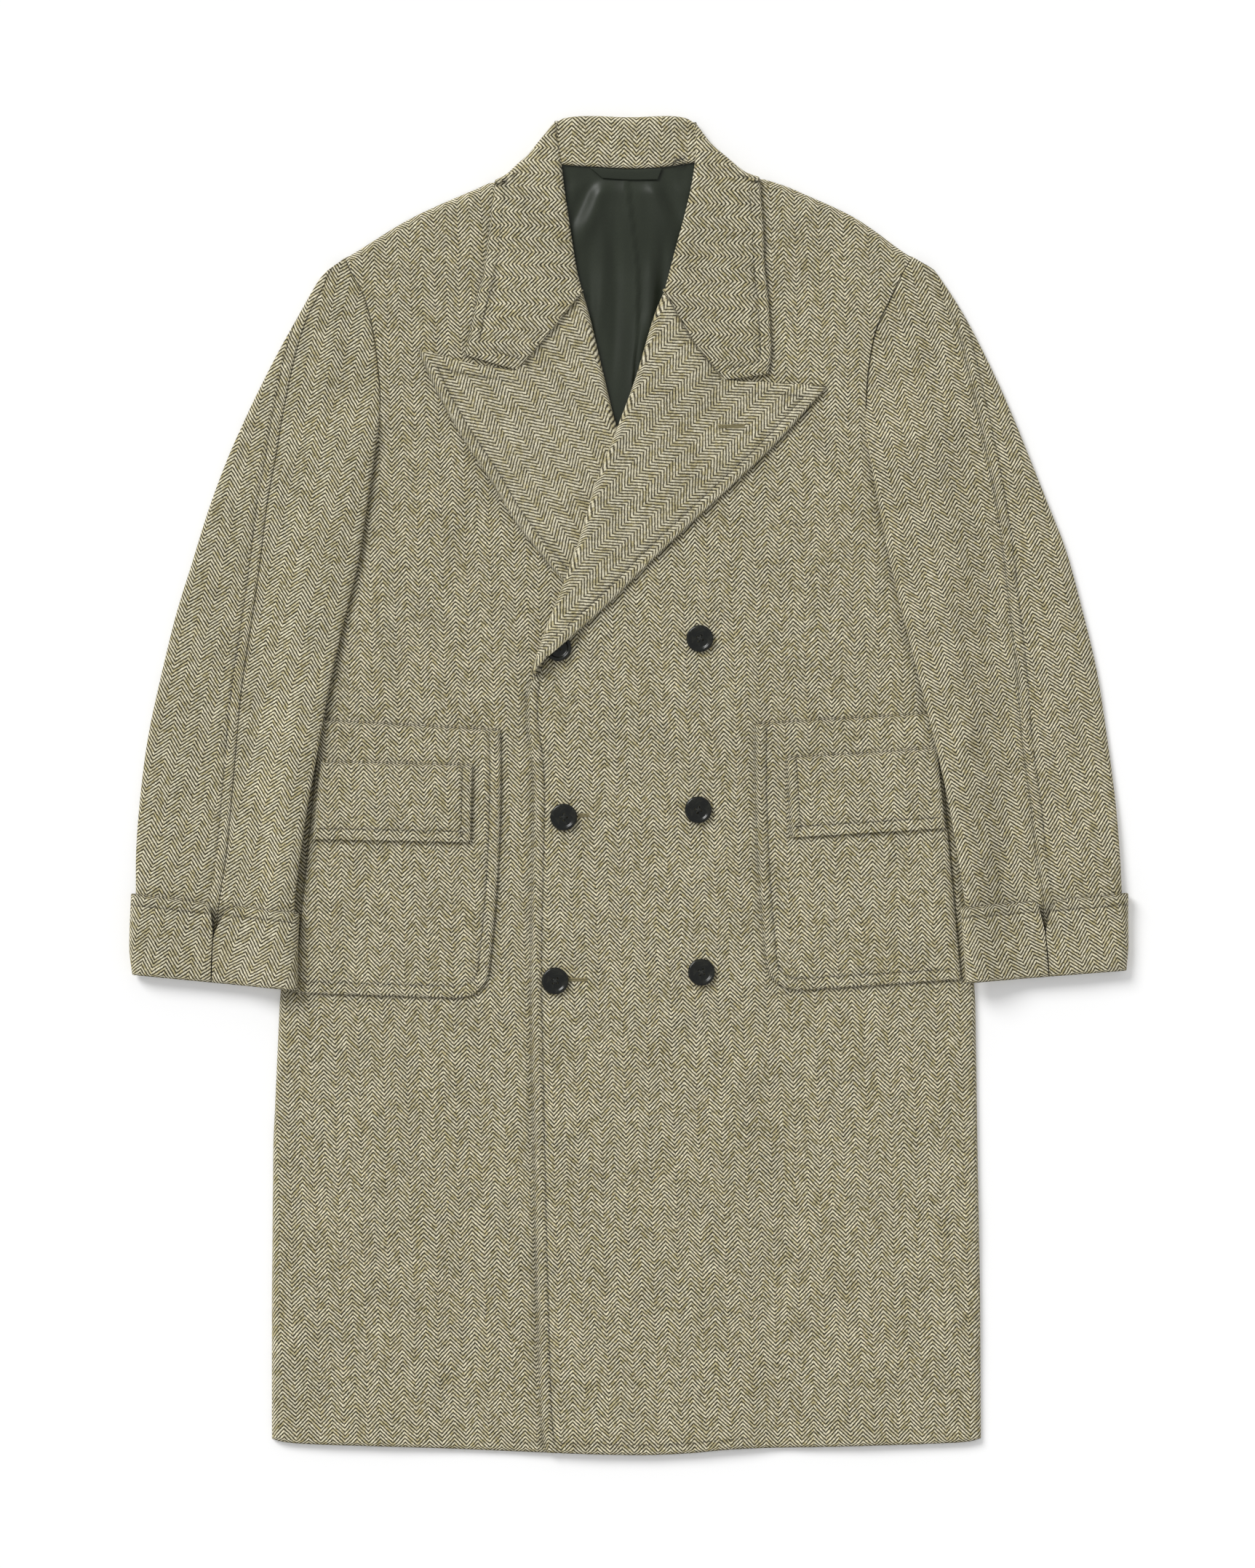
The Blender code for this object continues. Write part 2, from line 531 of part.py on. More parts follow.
def build_front(name, left, mat):
    """A front from the hem to the shoulder; its side and shoulder turn down round the back."""
    side = 1.0 if left else -1.0
    outer = body_outline(left, 0.0)
    edge = np.array(FRONT_EDGE_ROWS) if left else np.array([(UNDER_EDGE_X, -612.0), (UNDER_EDGE_X, 94.0)])
    roll = curve(LEFT_ROLL_ROWS if left else RIGHT_ROLL_ROWS)
    neck = curve((LEFT_NECK_EDGE if left else RIGHT_NECK_EDGE)[:4])
    folded = pushed(np.vstack([roll, neck[4:]]), -side * (LAPEL_ROUND + 7.0 * GAP))
    seam = np.array(LEFT_SHOULDER if left else RIGHT_SHOULDER) - (0.0, SHOULDER_ROUND)
    above = len(outer) - FRONT_EDGE_COUNT - 1
    inner = np.vstack([spaced(edge, FRONT_EDGE_COUNT), spaced(folded[::8], above), [seam[0]]])
    stop = outer - (side * SIDE_ROUND, 0.0)
    seam[-1] = outer[-1]
    across = np.array(FRONT_COLUMNS)
    high = spaced(seam, across * 0.95)
    x = inner[0, 0] + (stop[0, 0] - inner[0, 0]) * across
    low = np.column_stack([x, hem_y(x)])
    low[0] = inner[0]
    stop[0], stop[-1] = low[-1], high[-1]
    rise = (outer[:, 1] - outer[0, 1]) / (outer[-1, 1] - outer[0, 1])
    plan = patch(low, high, inner, stop, across, rise)
    turned = [stop + (outer - stop) * (1.0 - share) for share in ROUND_SHARES[1:]]
    for column in turned:
        column[0, 1] = hem_y(column[0, 0])
    plan = np.concatenate([plan, np.stack(turned, axis=1)], axis=1)
    z = front_top(plan[..., 0], plan[..., 1], left)
    floor = back_underside(plan[..., 0], plan[..., 1]) + TURNED_HEIGHT
    below_armhole = len(SIDE_LEVELS)
    for k in range(1, len(ROUND_SHARES)):
        column = len(across) - 1 + k
        bent = floor[:, column] + (z[:, column] - floor[:, column]) * ROUND_HEIGHTS[k]
        z[:below_armhole, column] = bent[:below_armhole]
    grid = with_height(plan, z)
    shoulder = []
    for k in range(1, len(ROUND_SHARES)):
        row = grid[-1].copy()
        row[:, 1] += SHOULDER_ROUND * (1.0 - ROUND_SHARES[k])
        row[:, 2] = floor[-1] + (row[:, 2] - floor[-1]) * ROUND_HEIGHTS[k]
        shoulder.append(row)
    grid = np.concatenate([grid, np.array(shoulder)])
    return sheet(name, grid, FRONT_WALL * side, mat)


def build_lapel(name, left, mat):
    """A lapel folded back along its roll line; the round of the roll reaches down to the front."""
    side = 1.0 if left else -1.0
    rise = np.array(LAPEL_LEVELS)
    roll = spaced(LEFT_ROLL_ROWS if left else RIGHT_ROLL_ROWS, rise)
    first = pushed(roll, -side * LAPEL_ROUND)
    last = spaced(LEFT_LAPEL_EDGE if left else RIGHT_LAPEL_EDGE, rise)
    gorge = spaced(LEFT_GORGE if left else RIGHT_GORGE, 4)
    top = spaced(LEFT_LAPEL_TOP if left else RIGHT_LAPEL_TOP, 4)
    high = np.vstack([gorge, top[1:]])
    toward = (gorge[1] - gorge[0]) / np.hypot(*(gorge[1] - gorge[0]))
    high[0] = gorge[0] + GORGE_START * LAPEL_ROUND * toward
    first[-1], last[-1] = high[0], high[-1]
    across = np.linspace(0.0, 1.0, len(high))
    low = (1 - across[:, None]) * first[0] + across[:, None] * last[0]
    plan = patch(low, high, first, last, across, rise)
    front = "front_left" if left else "front_right"
    z = laid_on(front, plan[..., 0], plan[..., 1], front_top(plan[..., 0], plan[..., 1], left))
    z = z + GAP + ROLL_LOFT + LAPEL_WALL
    if left:
        z = z + button_lift(plan[..., 0], plan[..., 1])
    grid = with_height(plan, z)
    z_top = grid[:, 0, 2]
    z_low = front_underside(roll[:, 0], roll[:, 1], left)
    fold = []
    for angle in FOLD_ANGLES[:-1]:
        at = roll + (first - roll) * (1.0 - math.cos(angle))
        z = (z_top + z_low) / 2 + (z_top - z_low) / 2 * math.sin(angle)
        fold.append(np.column_stack([at, z]))
    grid = np.concatenate([np.stack(fold, axis=1), grid], axis=1)
    return sheet(name, grid, LAPEL_WALL * side, mat)


def leaf_side(left):
    """The part of the leaf that lies on a front, from its lower edge up to the fold over the shoulder."""
    side = 1.0 if left else -1.0
    count = 9
    first = spaced(LEFT_NECK_EDGE if left else RIGHT_NECK_EDGE, count)
    last = spaced(LEFT_LEAF_EDGE if left else RIGHT_LEAF_EDGE, count)
    gorge = pushed(curve(LEFT_GORGE if left else RIGHT_GORGE), side * 3.0 * GAP)
    top = spaced([gorge[-1], last[0]], 3)
    low = np.vstack([spaced(gorge[::8], 5), top[1:]])
    low[0], low[-1] = first[0], last[0]
    fold = np.array(LEFT_LEAF_FOLD if left else RIGHT_LEAF_FOLD)
    across = np.linspace(0.0, 1.0, len(low))
    high = pushed(spaced(fold, across), -side * LEAF_FOLD_ROUND)
    outer_fold = spaced(fold, across)
    first[-1], last[-1] = high[0], high[-1]
    plan = patch(low, high, first, last, across, np.linspace(0.0, 1.0, count))
    front = "front_left" if left else "front_right"
    z = laid_on(front, plan[..., 0], plan[..., 1], front_top(plan[..., 0], plan[..., 1], left))
    grid = with_height(plan, z + GAP + ROLL_LOFT + COLLAR_WALL)
    z_top = grid[-1][:, 2]
    rows = []
    for angle in FOLD_ANGLES[::-1][1:]:
        at = outer_fold + (high - outer_fold) * (1.0 - math.cos(angle))
        rows.append(np.column_stack([at, z_top / 2 + z_top / 2 * math.sin(angle)]))
    return np.concatenate([grid, np.array(rows)])


def build_leaf(mat):
    """The leaf: down one front, under the back of the neck and up the other front, in one piece."""
    right = leaf_side(False)
    left = leaf_side(True)[::-1]
    start, end = right[-1], left[0]
    count = 8
    t = np.linspace(0.0, 1.0, count)
    across = np.linspace(0.0, 1.0, start.shape[0])
    top = np.column_stack([start[0, 0] + (end[0, 0] - start[0, 0]) * t,
                           np.interp(t, [0.0, 0.12, 0.88, 1.0],
                                     [start[0, 1], LEAF_BACK_TOP - 1.0, LEAF_BACK_TOP - 1.0, end[0, 1]])])
    low = spaced(LEAF_BACK_EDGE, t)
    low[0], low[-1] = start[-1, :2], end[-1, :2]
    plan = patch(start[:, :2], end[:, :2], top, low, across, t)
    middle = with_height(plan, np.zeros(plan.shape[:2]))[1:-1]
    return sheet("collar_leaf", np.concatenate([right, middle, left]), -COLLAR_WALL, mat)


def build_stand(mat):
    """The stand as it shows inside the back of the neck, folded over at the top of the collar."""
    count = 11
    roll = spaced(STAND_TOP_EDGE, count)
    low = spaced(STAND_LOWER_EDGE, count)
    first = roll - (0.0, STAND_ROUND)
    z_seam = COLLAR_WALL + GAP + BACK_WALL + GAP + LINING_WALL + GAP + COLLAR_WALL
    columns = []
    for angle in FOLD_ANGLES:
        at = roll + (first - roll) * (1.0 - math.cos(angle))
        z = np.full(count, (STAND_TOP + STAND_FOOT) / 2 + (STAND_TOP - STAND_FOOT) / 2 * math.sin(angle))
        columns.append(np.column_stack([at, z]))
    for t in (0.33, 0.67, 1.0):
        at = (1 - t) * first + t * low
        columns.append(np.column_stack([at, np.full(count, STAND_TOP + (z_seam - STAND_TOP) * step(t))]))
    return sheet("collar_stand", np.stack(columns, axis=1), COLLAR_WALL, mat)


def build_lining(mat):
    """The back lining inside the neck, with the pleat down its centre."""
    v = np.linspace(0.0, 1.0, 11)
    right, left = spaced(LINING_RIGHT_SIDE, v), spaced(LINING_LEFT_SIDE, v)
    plan = np.stack([(1 - t) * right + t * left for t in LINING_COLUMNS], axis=1)
    pleat = np.array(PLEAT_ROWS)[::-1]
    z = laid_on("back", plan[..., 0], plan[..., 1], back_top(plan[..., 0], plan[..., 1]))
    z = z + GAP + LINING_WALL
    from_pleat = plan[..., 0] - np.interp(plan[..., 1], pleat[:, 1], pleat[:, 0])
    open_width = np.minimum(LINING_COLUMNS, 1.0 - LINING_COLUMNS)[None, :]
    raised = np.exp(-(from_pleat / PLEAT_WIDTH) ** 2) * step((open_width - 0.3) / 0.14)
    below = step((PLEAT_TOP_Y - plan[..., 1]) / PLEAT_TOP_FADE)
    above = step((plan[..., 1] - PLEAT_FOOT_Y) / PLEAT_FOOT_FADE)
    z = z + PLEAT_HEIGHT * raised * below * above
    return sheet("back_lining", with_height(plan, z), LINING_WALL, mat)


def build_neck_tab(mat):
    top, low = spaced(NECK_TAB_TOP, 6), spaced(NECK_TAB_LOW, 6)
    plan = np.stack([low, (low + top) / 2, top])
    z = laid_on("back_lining", plan[..., 0], plan[..., 1], lining_top(plan[..., 0], plan[..., 1]))
    z = z + GAP + NECK_TAB_WALL
    return sheet("neck_tab", with_height(plan, z), NECK_TAB_WALL, mat)


def patch_outline(sizes, left, rows):
    """The inner and outer ends of each row of a patch, its free lower corner rounded."""
    side = 1.0 if left else -1.0
    top_in, top_out = np.array(sizes["top_in"]), np.array(sizes["top_out"])
    low_in, low_out = np.array(sizes["low_in"]), np.array(sizes["low_out"])
    length = top_in[1] - low_in[1]
    corner = sizes["corner"]
    ends = []
    for t in rows:
        inner = (1 - t) * top_in + t * low_in
        inner[0] -= side * sizes["bow"] * 4.0 * t * (1.0 - t)
        rest = length * (1.0 - t)
        if rest < corner:
            inner[0] += side * (corner - math.sqrt(corner ** 2 - (corner - rest) ** 2))
        ends.append((inner, (1 - t) * top_out + t * low_out))
    return ends


def build_patch(name, sizes, left, on, wall, mat, rows):
    """A pocket laid on its front or a flap laid on its pocket, row by row from the top edge."""
    ends = patch_outline(sizes, left, rows)
    across = np.linspace(0.0, 1.0, 7)[:, None]
    plan = np.array([(1 - across) * inner + across * outer for inner, outer in ends])
    side = 1.0 if left else -1.0
    beside = front_top(plan[..., 0], plan[..., 1], left)
    if on.startswith("pocket"):
        beside = beside + GAP + POCKET_WALL
    z = laid_on(on, plan[..., 0], plan[..., 1], beside)
    grid = with_height(plan, z + GAP + wall)
    return sheet(name, grid, -wall * side, mat)


def sleeve_section(row, left, lift, height, round_width, stations):
    """Points round part of a flattened tube that rests on what is under it, raised by a lift."""
    outer, inner = np.array(row[:2]), np.array(row[2:4])
    width = np.hypot(*(inner - outer))
    r = min(round_width, 0.2 * width) / width
    points = []
    for kind, value in stations:
        if kind in ("top", "under"):
            t = value
            level = 1.0 if kind == "top" else -1.0
        elif kind == "inner":
            t = 1.0 - r + r * math.cos(value)
            level = math.sin(value)
        else:
            t = r - r * math.cos(value)
            level = math.sin(value)
        p = outer + (inner - outer) * t
        z = sleeve_rest(p[0], p[1], left) + lift + height / 2 * (1.0 + level)
        points.append((p[0], p[1], float(z)))
    return points


def tube_half(row, inward, top_share, under_share, round_width, count):
    """The stations of one half of a tube, from the seam on top round an end to the hidden seam."""
    width = math.hypot(row[2] - row[0], row[3] - row[1])
    r = min(round_width, 0.2 * width) / width
    end = 1.0 - r if inward else r
    kind = "inner" if inward else "outer"
    top = [("top", t) for t in np.linspace(top_share, end, count)[:-1]]
    bend = [(kind, a) for a in FOLD_ANGLES[::-1]]
    under = [("under", t) for t in np.linspace(end, under_share, count)[1:]]
    return top + bend + under


def build_sleeve(name, rows, left, inward, mat):
    """One of a sleeve's two pieces: the inward one lies next to the body, the other outside."""
    grid = []
    for i, row in enumerate(rows):
        width = math.hypot(row[2] - row[0], row[3] - row[1])
        half_gap = (GAP if inward else -GAP) / width * (1.0 if i > 1 else TIP_SEAM)
        lift = (CUFF_WALL + 1.5 * GAP) * step((i - CUFF_LIFT_ROW) / CUFF_LIFT_ROWS)
        r = min(SLEEVE_ROUND, 0.2 * width) / width
        seam = max(row[4], r + SEAM_MARGIN) + half_gap
        hidden = max(SLEEVE_HIDDEN_SEAM, r + SEAM_MARGIN) + half_gap
        stations = tube_half(row, inward, seam, hidden, SLEEVE_ROUND, 4)
        grid.append(sleeve_section(row, left, lift, SLEEVE_HEIGHT, SLEEVE_ROUND, stations))
    facing = 1.0 if inward == left else -1.0
    return sheet(name, np.array(grid), SLEEVE_WALL * facing, mat)


def build_cuff(name, rows, left, inward, mat):
    """One of a turned-back cuff's two pieces; their free edges part above the seam."""
    grid = []
    for row in rows:
        width = math.hypot(row[2] - row[0], row[3] - row[1])
        half_gap = GAP / width if inward else -GAP / width
        seam = row[5] if inward else row[4]
        stations = tube_half(row, inward, seam, SLEEVE_HIDDEN_SEAM + half_gap, CUFF_ROUND, 4)
        grid.append(sleeve_section(row, left, 0.0, CUFF_HEIGHT, CUFF_ROUND, stations))
    facing = 1.0 if inward == left else -1.0
    return sheet(name, np.array(grid), CUFF_WALL * facing, mat)


def build_button(name, x, y, mat):
    """A turned button with a raised rim, a dished middle and four holes."""
    turn = np.arange(8) * math.tau / 8
    round_x = np.append(x + BUTTON_RADIUS * np.cos(turn), x)
    round_y = np.append(y + BUTTON_RADIUS * np.sin(turn), y)
    z = laid_on("front_left", round_x, round_y, front_top(round_x, round_y, True)).max() + GAP
    r, rim, high = BUTTON_RADIUS, BUTTON_RIM, BUTTON_HEIGHT
    profile = [(0.0, 0.0), (r * 0.72, 0.0), (r, high * 0.45), (r * 0.96, high * 0.86), (r - rim * 0.6, high),
               (r - rim, high - 0.3), (r - rim - 1.2, high - BUTTON_DISH), (0.0, high - BUTTON_DISH)]
    bm = bmesh.new()
    verts = [bm.verts.new((px * MM, 0.0, pz * MM)) for px, pz in profile]
    edges = [bm.edges.new(pair) for pair in zip(verts, verts[1:])]
    bmesh.ops.spin(bm, geom=verts + edges, cent=(0, 0, 0), axis=(0, 0, 1), angle=math.tau, steps=16,
                   use_merge=True, use_duplicate=False)
    bmesh.ops.remove_doubles(bm, verts=bm.verts, dist=0.00001)
    bmesh.ops.recalc_face_normals(bm, faces=bm.faces)
    mesh = bpy.data.meshes.new(name)
    bm.to_mesh(mesh)
    bm.free()
    ob = bpy.data.objects.new(name, mesh)
    bpy.context.collection.objects.link(ob)
    mesh.materials.append(mat)
    ob.location = (x * MM, y * MM, z * MM)
    cutter_mesh = bpy.data.meshes.new(name + "_holes")
    bm = bmesh.new()
    for k in range(4):
        angle = math.radians(45.0 + 90.0 * k)
        hole = bmesh.ops.create_cone(bm, cap_ends=True, segments=6, radius1=BUTTON_HOLE_RADIUS * MM,
                                     radius2=BUTTON_HOLE_RADIUS * MM, depth=4.0 * high * MM)
        spread = BUTTON_HOLE_SPREAD * MM
        bmesh.ops.translate(bm, verts=hole["verts"],
                            vec=(spread * math.cos(angle), spread * math.sin(angle), 0.0))
    bm.to_mesh(cutter_mesh)
    bm.free()
    cutter = bpy.data.objects.new(name + "_holes", cutter_mesh)
    bpy.context.collection.objects.link(cutter)
    cutter.location = ob.location
    cutter.hide_render = True
    cutter.display_type = "WIRE"
    cut = ob.modifiers.new("Holes", "BOOLEAN")
    cut.operation = "DIFFERENCE"
    cut.object = cutter
    cut.solver = "EXACT"
    mesh.shade_smooth()
    mesh.set_sharp_from_angle(angle=math.radians(40.0))
    return ob


def build_all():
    clear_scene()

    def cloth(name):
        return make_material(name + "_cloth", **TWEED)

    def satin(name):
        return make_material(name + "_satin", **LINING)

    build_back(cloth("back"))
    build_lining(satin("back_lining"))
    build_neck_tab(satin("neck_tab"))
    build_stand(cloth("collar_stand"))
    for side, left in (("right", False), ("left", True)):
        build_front("front_" + side, left, cloth("front_" + side))
        build_lapel("lapel_" + side, left, cloth("lapel_" + side))
        pocket, flap = (LEFT_POCKET, LEFT_FLAP) if left else (RIGHT_POCKET, RIGHT_FLAP)
        build_patch("pocket_" + side, pocket, left, "front_" + side, POCKET_WALL,
                    cloth("pocket_" + side), POCKET_LEVELS)
        build_patch("flap_" + side, flap, left, "pocket_" + side, FLAP_WALL,
                    cloth("flap_" + side), FLAP_LEVELS)
        sleeve_rows = LEFT_SLEEVE_ROWS if left else RIGHT_SLEEVE_ROWS
        cuff_rows = LEFT_CUFF_ROWS if left else RIGHT_CUFF_ROWS
        for part, inward in (("inner", True), ("outer", False)):
            name = "sleeve_%s_%s" % (side, part)
            build_sleeve(name, sleeve_rows, left, inward, cloth(name))
            name = "cuff_%s_%s" % (side, part)
            build_cuff(name, cuff_rows, left, inward, cloth(name))
    build_leaf(cloth("collar_leaf"))
    for number, x, y in BUTTONS:
        build_button("button_" + number, x, y, make_material("button_%s_horn" % number, **BUTTON))


build_all()
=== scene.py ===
"""Looks of a double-breasted herringbone coat laid flat on its back.

Fine cloth shells, buttons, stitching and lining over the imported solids. Sizes are in millimetres in
the row frame, X to the wearer's left and Y to the neck, and are scaled to metres as a mesh is made.
"""
import math
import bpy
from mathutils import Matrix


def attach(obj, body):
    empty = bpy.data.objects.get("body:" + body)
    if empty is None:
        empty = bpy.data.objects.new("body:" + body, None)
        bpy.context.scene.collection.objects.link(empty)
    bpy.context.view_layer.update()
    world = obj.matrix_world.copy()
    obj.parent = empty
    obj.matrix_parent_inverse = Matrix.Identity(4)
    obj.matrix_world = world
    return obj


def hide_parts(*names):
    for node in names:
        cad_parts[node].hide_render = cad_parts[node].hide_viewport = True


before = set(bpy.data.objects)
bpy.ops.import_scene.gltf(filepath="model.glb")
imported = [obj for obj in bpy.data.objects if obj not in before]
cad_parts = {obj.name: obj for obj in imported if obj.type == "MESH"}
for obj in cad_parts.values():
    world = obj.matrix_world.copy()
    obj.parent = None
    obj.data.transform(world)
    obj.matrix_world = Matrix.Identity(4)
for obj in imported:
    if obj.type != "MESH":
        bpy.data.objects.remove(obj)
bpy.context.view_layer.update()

from types import SimpleNamespace

import bmesh
import bpy
import numpy as np
from mathutils.bvhtree import BVHTree

MM = 0.001
GAP = 0.3

# Cloth walls
BACK_WALL, FRONT_WALL, LINING_WALL, NECK_TAB_WALL = 2.4, 2.8, 0.9, 0.8
LAPEL_WALL, COLLAR_WALL, POCKET_WALL, FLAP_WALL = 3.0, 3.0, 2.2, 2.8
SLEEVE_WALL, CUFF_WALL = 2.4, 2.8

# How far soft cloth stands off what it lies on, and how high the flattened tubes are
FRONT_LOFT, ROLL_LOFT = 1.6, 0.8
SLEEVE_HEIGHT, CUFF_HEIGHT = 6.6, 15.4
# Height of the leaf at the top corners of the collar, where it turns into the stand
CORNER_HEIGHT = 10.4

# Rounds
SIDE_ROUND, SHOULDER_ROUND, SLEEVE_ROUND, ARMHOLE_ROUND = 6.0, 6.0, 8.0, 2.6
LAPEL_ROUND, STAND_ROUND, NECK_ROUND, LEAF_FOLD_ROUND = 5.0, 5.5, 4.6, 7.0

# How much an edge rounds out: folded and stitched edges more than seams, the tab's thin edge least
FOLDED, OPEN_SEAM, SEAM, THIN = 1.4, 0.9, 0.45, 0.35

BUTTON_RADIUS, BUTTON_HEIGHT = 12.5, 4.2

# Half the gap that shows at a sewn seam, and at the seam of a cuff
SEAM_GAP, CUFF_GAP = 0.05, 0.12

# Stitching runs this far inside folded edges, beside the sleeve's seam and above the hem
STITCH_INSET, SLEEVE_STITCH_INSET, HEM_STITCH_INSET = 10.7, 9.4, 9.5
# Depth of the groove that stitching pulls, the painted shade in it and how wide that painted shade is
GROOVE_DEPTH, PAINTED_GROOVE_SHADE, PAINTED_SHADE_WIDTH = 1.1, 0.60, 1.0
# Painted shade on the body beside a sleeve and how wide it is, and the painted shade beside other edges
PAINTED_SLEEVE_SHADE, PAINTED_SLEEVE_SHADE_WIDTH, PAINTED_CONTACT_SHADE = 0.42, 4.5, 0.22
# How far cloth thins toward a pressed edge
EDGE_DROP = 0.35
# Distances from a stitched edge at which a grid has its lines: over the round and through the groove
STITCHED_EDGE = [0.0, 3.2, 6.0, 8.4, 9.7, 10.8, 12.0, 14.0]
PATCH_EDGE = [0.0, 3.0, 6.0, 8.6, 9.8, 10.9, 12.1, 14.5]

# Body sides, one row per height: y, the right side's x and the left side's x
SIDE_ROWS = [(-600, -329.3, 324.6), (-470, -329.3, 324), (-330, -328, 321.5), (-200, -322, 319.5),
             (-60, -311, 311), (90, -298, 298), (220, -286, 286), (262, -272, 274), (300, -246, 236)]

# Hem, one row per place across
HEM_ROWS = [(-329.3, -603), (-300, -607), (-180, -611), (-80, -615), (0, -617.3), (50, -616), (104, -611.7),
            (200, -609.5), (300, -606), (324.6, -602.5)]

# Edge of the left front, which lies on top, from the hem up to the break of the lapel
FRONT_EDGE_ROWS = [(-75.5, -616.5), (-80, -600), (-83, -549), (-88, -348), (-91, -170), (-88.5, -30),
                   (-89.5, 18), (-95, 66), (-93, 95)]
UNDER_EDGE_X = 88.0

RIGHT = SimpleNamespace(
    left=False, name="right", side=-1.0,
    # Roll line of the lapel from the break up to the gorge, its free edge from the break out to the tip,
    # the gorge out to the notch, and the lapel's top from there to the tip
    roll=[(84, 108), (66, 165), (36, 235), (9, 290), (-10.5, 330), (-22.4, 375.2), (-35.2, 428.8),
          (-42.5, 454.3)],
    lapel_edge=[(73.5, 110.5), (20, 138), (-28, 163), (-60, 187.6), (-104.9, 242.5), (-127, 279.5),
                (-154, 320), (-177, 361.8), (-194.6, 401)],
    gorge=[(-42.5, 454.3), (-72, 418), (-102.4, 382.2)],
    lapel_top=[(-102.4, 382.2), (-150.4, 390), (-194.6, 402.7)],
    # Collar leaf: neck edge from the gorge up, free edge from the tip up, and the fold on the shoulder
    neck_edge=[(-44, 459.6), (-48.6, 479), (-55.3, 522.6), (-59.3, 549.4), (-62, 571.5), (-64.5, 589.6),
               (-66.2, 598.5), (-66.6, 606), (-66.2, 611.7)],
    leaf_edge=[(-151.6, 396.8), (-142.4, 441), (-133.7, 479), (-129.6, 510), (-126.5, 535), (-123.5, 558)],
    leaf_fold=[(-66.3, 613.2), (-70, 610), (-75.4, 603.7), (-83.4, 593.6), (-93.5, 580.9), (-101.5, 574.2),
               (-112.9, 563.5), (-123.5, 558)],
    # Shoulder seam from the neck point, under the collar, to the shoulder tip
    shoulder=[(-88, 556), (-112, 555), (-127, 555.9), (-140.4, 550.4), (-202, 522.6), (-262.5, 489)],
    # Side of the lining where it shows
    lining=[(-14, 312), (-40, 375), (-60, 455), (-72, 523), (-77, 575)],
    # Sleeve, one row per section from the shoulder tip to inside the cuff: the outer end's x and y, the
    # inner end's x and y, and how far across the visible seam runs
    sleeve=[(-279, 474, -261.5, 486.6, 0.3), (-287.5, 463.5, -255, 472, 0.18),
            (-306, 431, -243.5, 450, 0.17), (-325, 396.5, -235.5, 419, 0.21),
            (-343.5, 360, -230.5, 382, 0.26), (-357, 331, -228.8, 351.8, 0.29),
            (-370, 301.5, -232, 319.6, 0.33), (-387, 256, -239.5, 268, 0.365),
            (-403, 204.5, -249, 206.5, 0.41), (-417.5, 157.5, -263.5, 146, 0.455),
            (-431.5, 100.5, -276.5, 86, 0.485), (-443.5, 43.5, -286.5, 29.5, 0.52),
            (-450.5, -10.5, -295, -16.5, 0.543), (-454, -57, -302.5, -67, 0.55),
            (-454.4, -95, -307.2, -107, 0.53), (-454.2, -134, -307.6, -147, 0.5),
            (-454, -171, -308.2, -184, 0.48)],
    # Cuff, one row per section from the free edge down: the same ends, and where the edges of the outer
    # and the inner piece lie as shares of the way across
    cuff=[(-458.8, -99.5, -303.2, -117, 0.44, 0.615), (-459, -106, -303.2, -123, 0.472, 0.566),
          (-459.5, -118, -303.6, -134, 0.486, 0.53), (-460, -131, -304, -146, 0.494, 0.499),
          (-460.3, -152, -304.4, -168, 0.488, 0.492), (-457.6, -175, -304.6, -189.5, 0.476, 0.48)],
    # Patch pocket and its flap: corners, the round of the free lower corner, and the bow of the side
    pocket=dict(top_in=(-118, 51.5), top_out=(-284, 61), low_in=(-131.5, -196),
                low_out=(-309, -191.5), corner=24, bow=5),
    flap=dict(top_in=(-143.5, 19.4), top_out=(-284, 22.8), low_in=(-145.2, -52.3),
              low_out=(-292, -49.4), corner=2.5, bow=0))

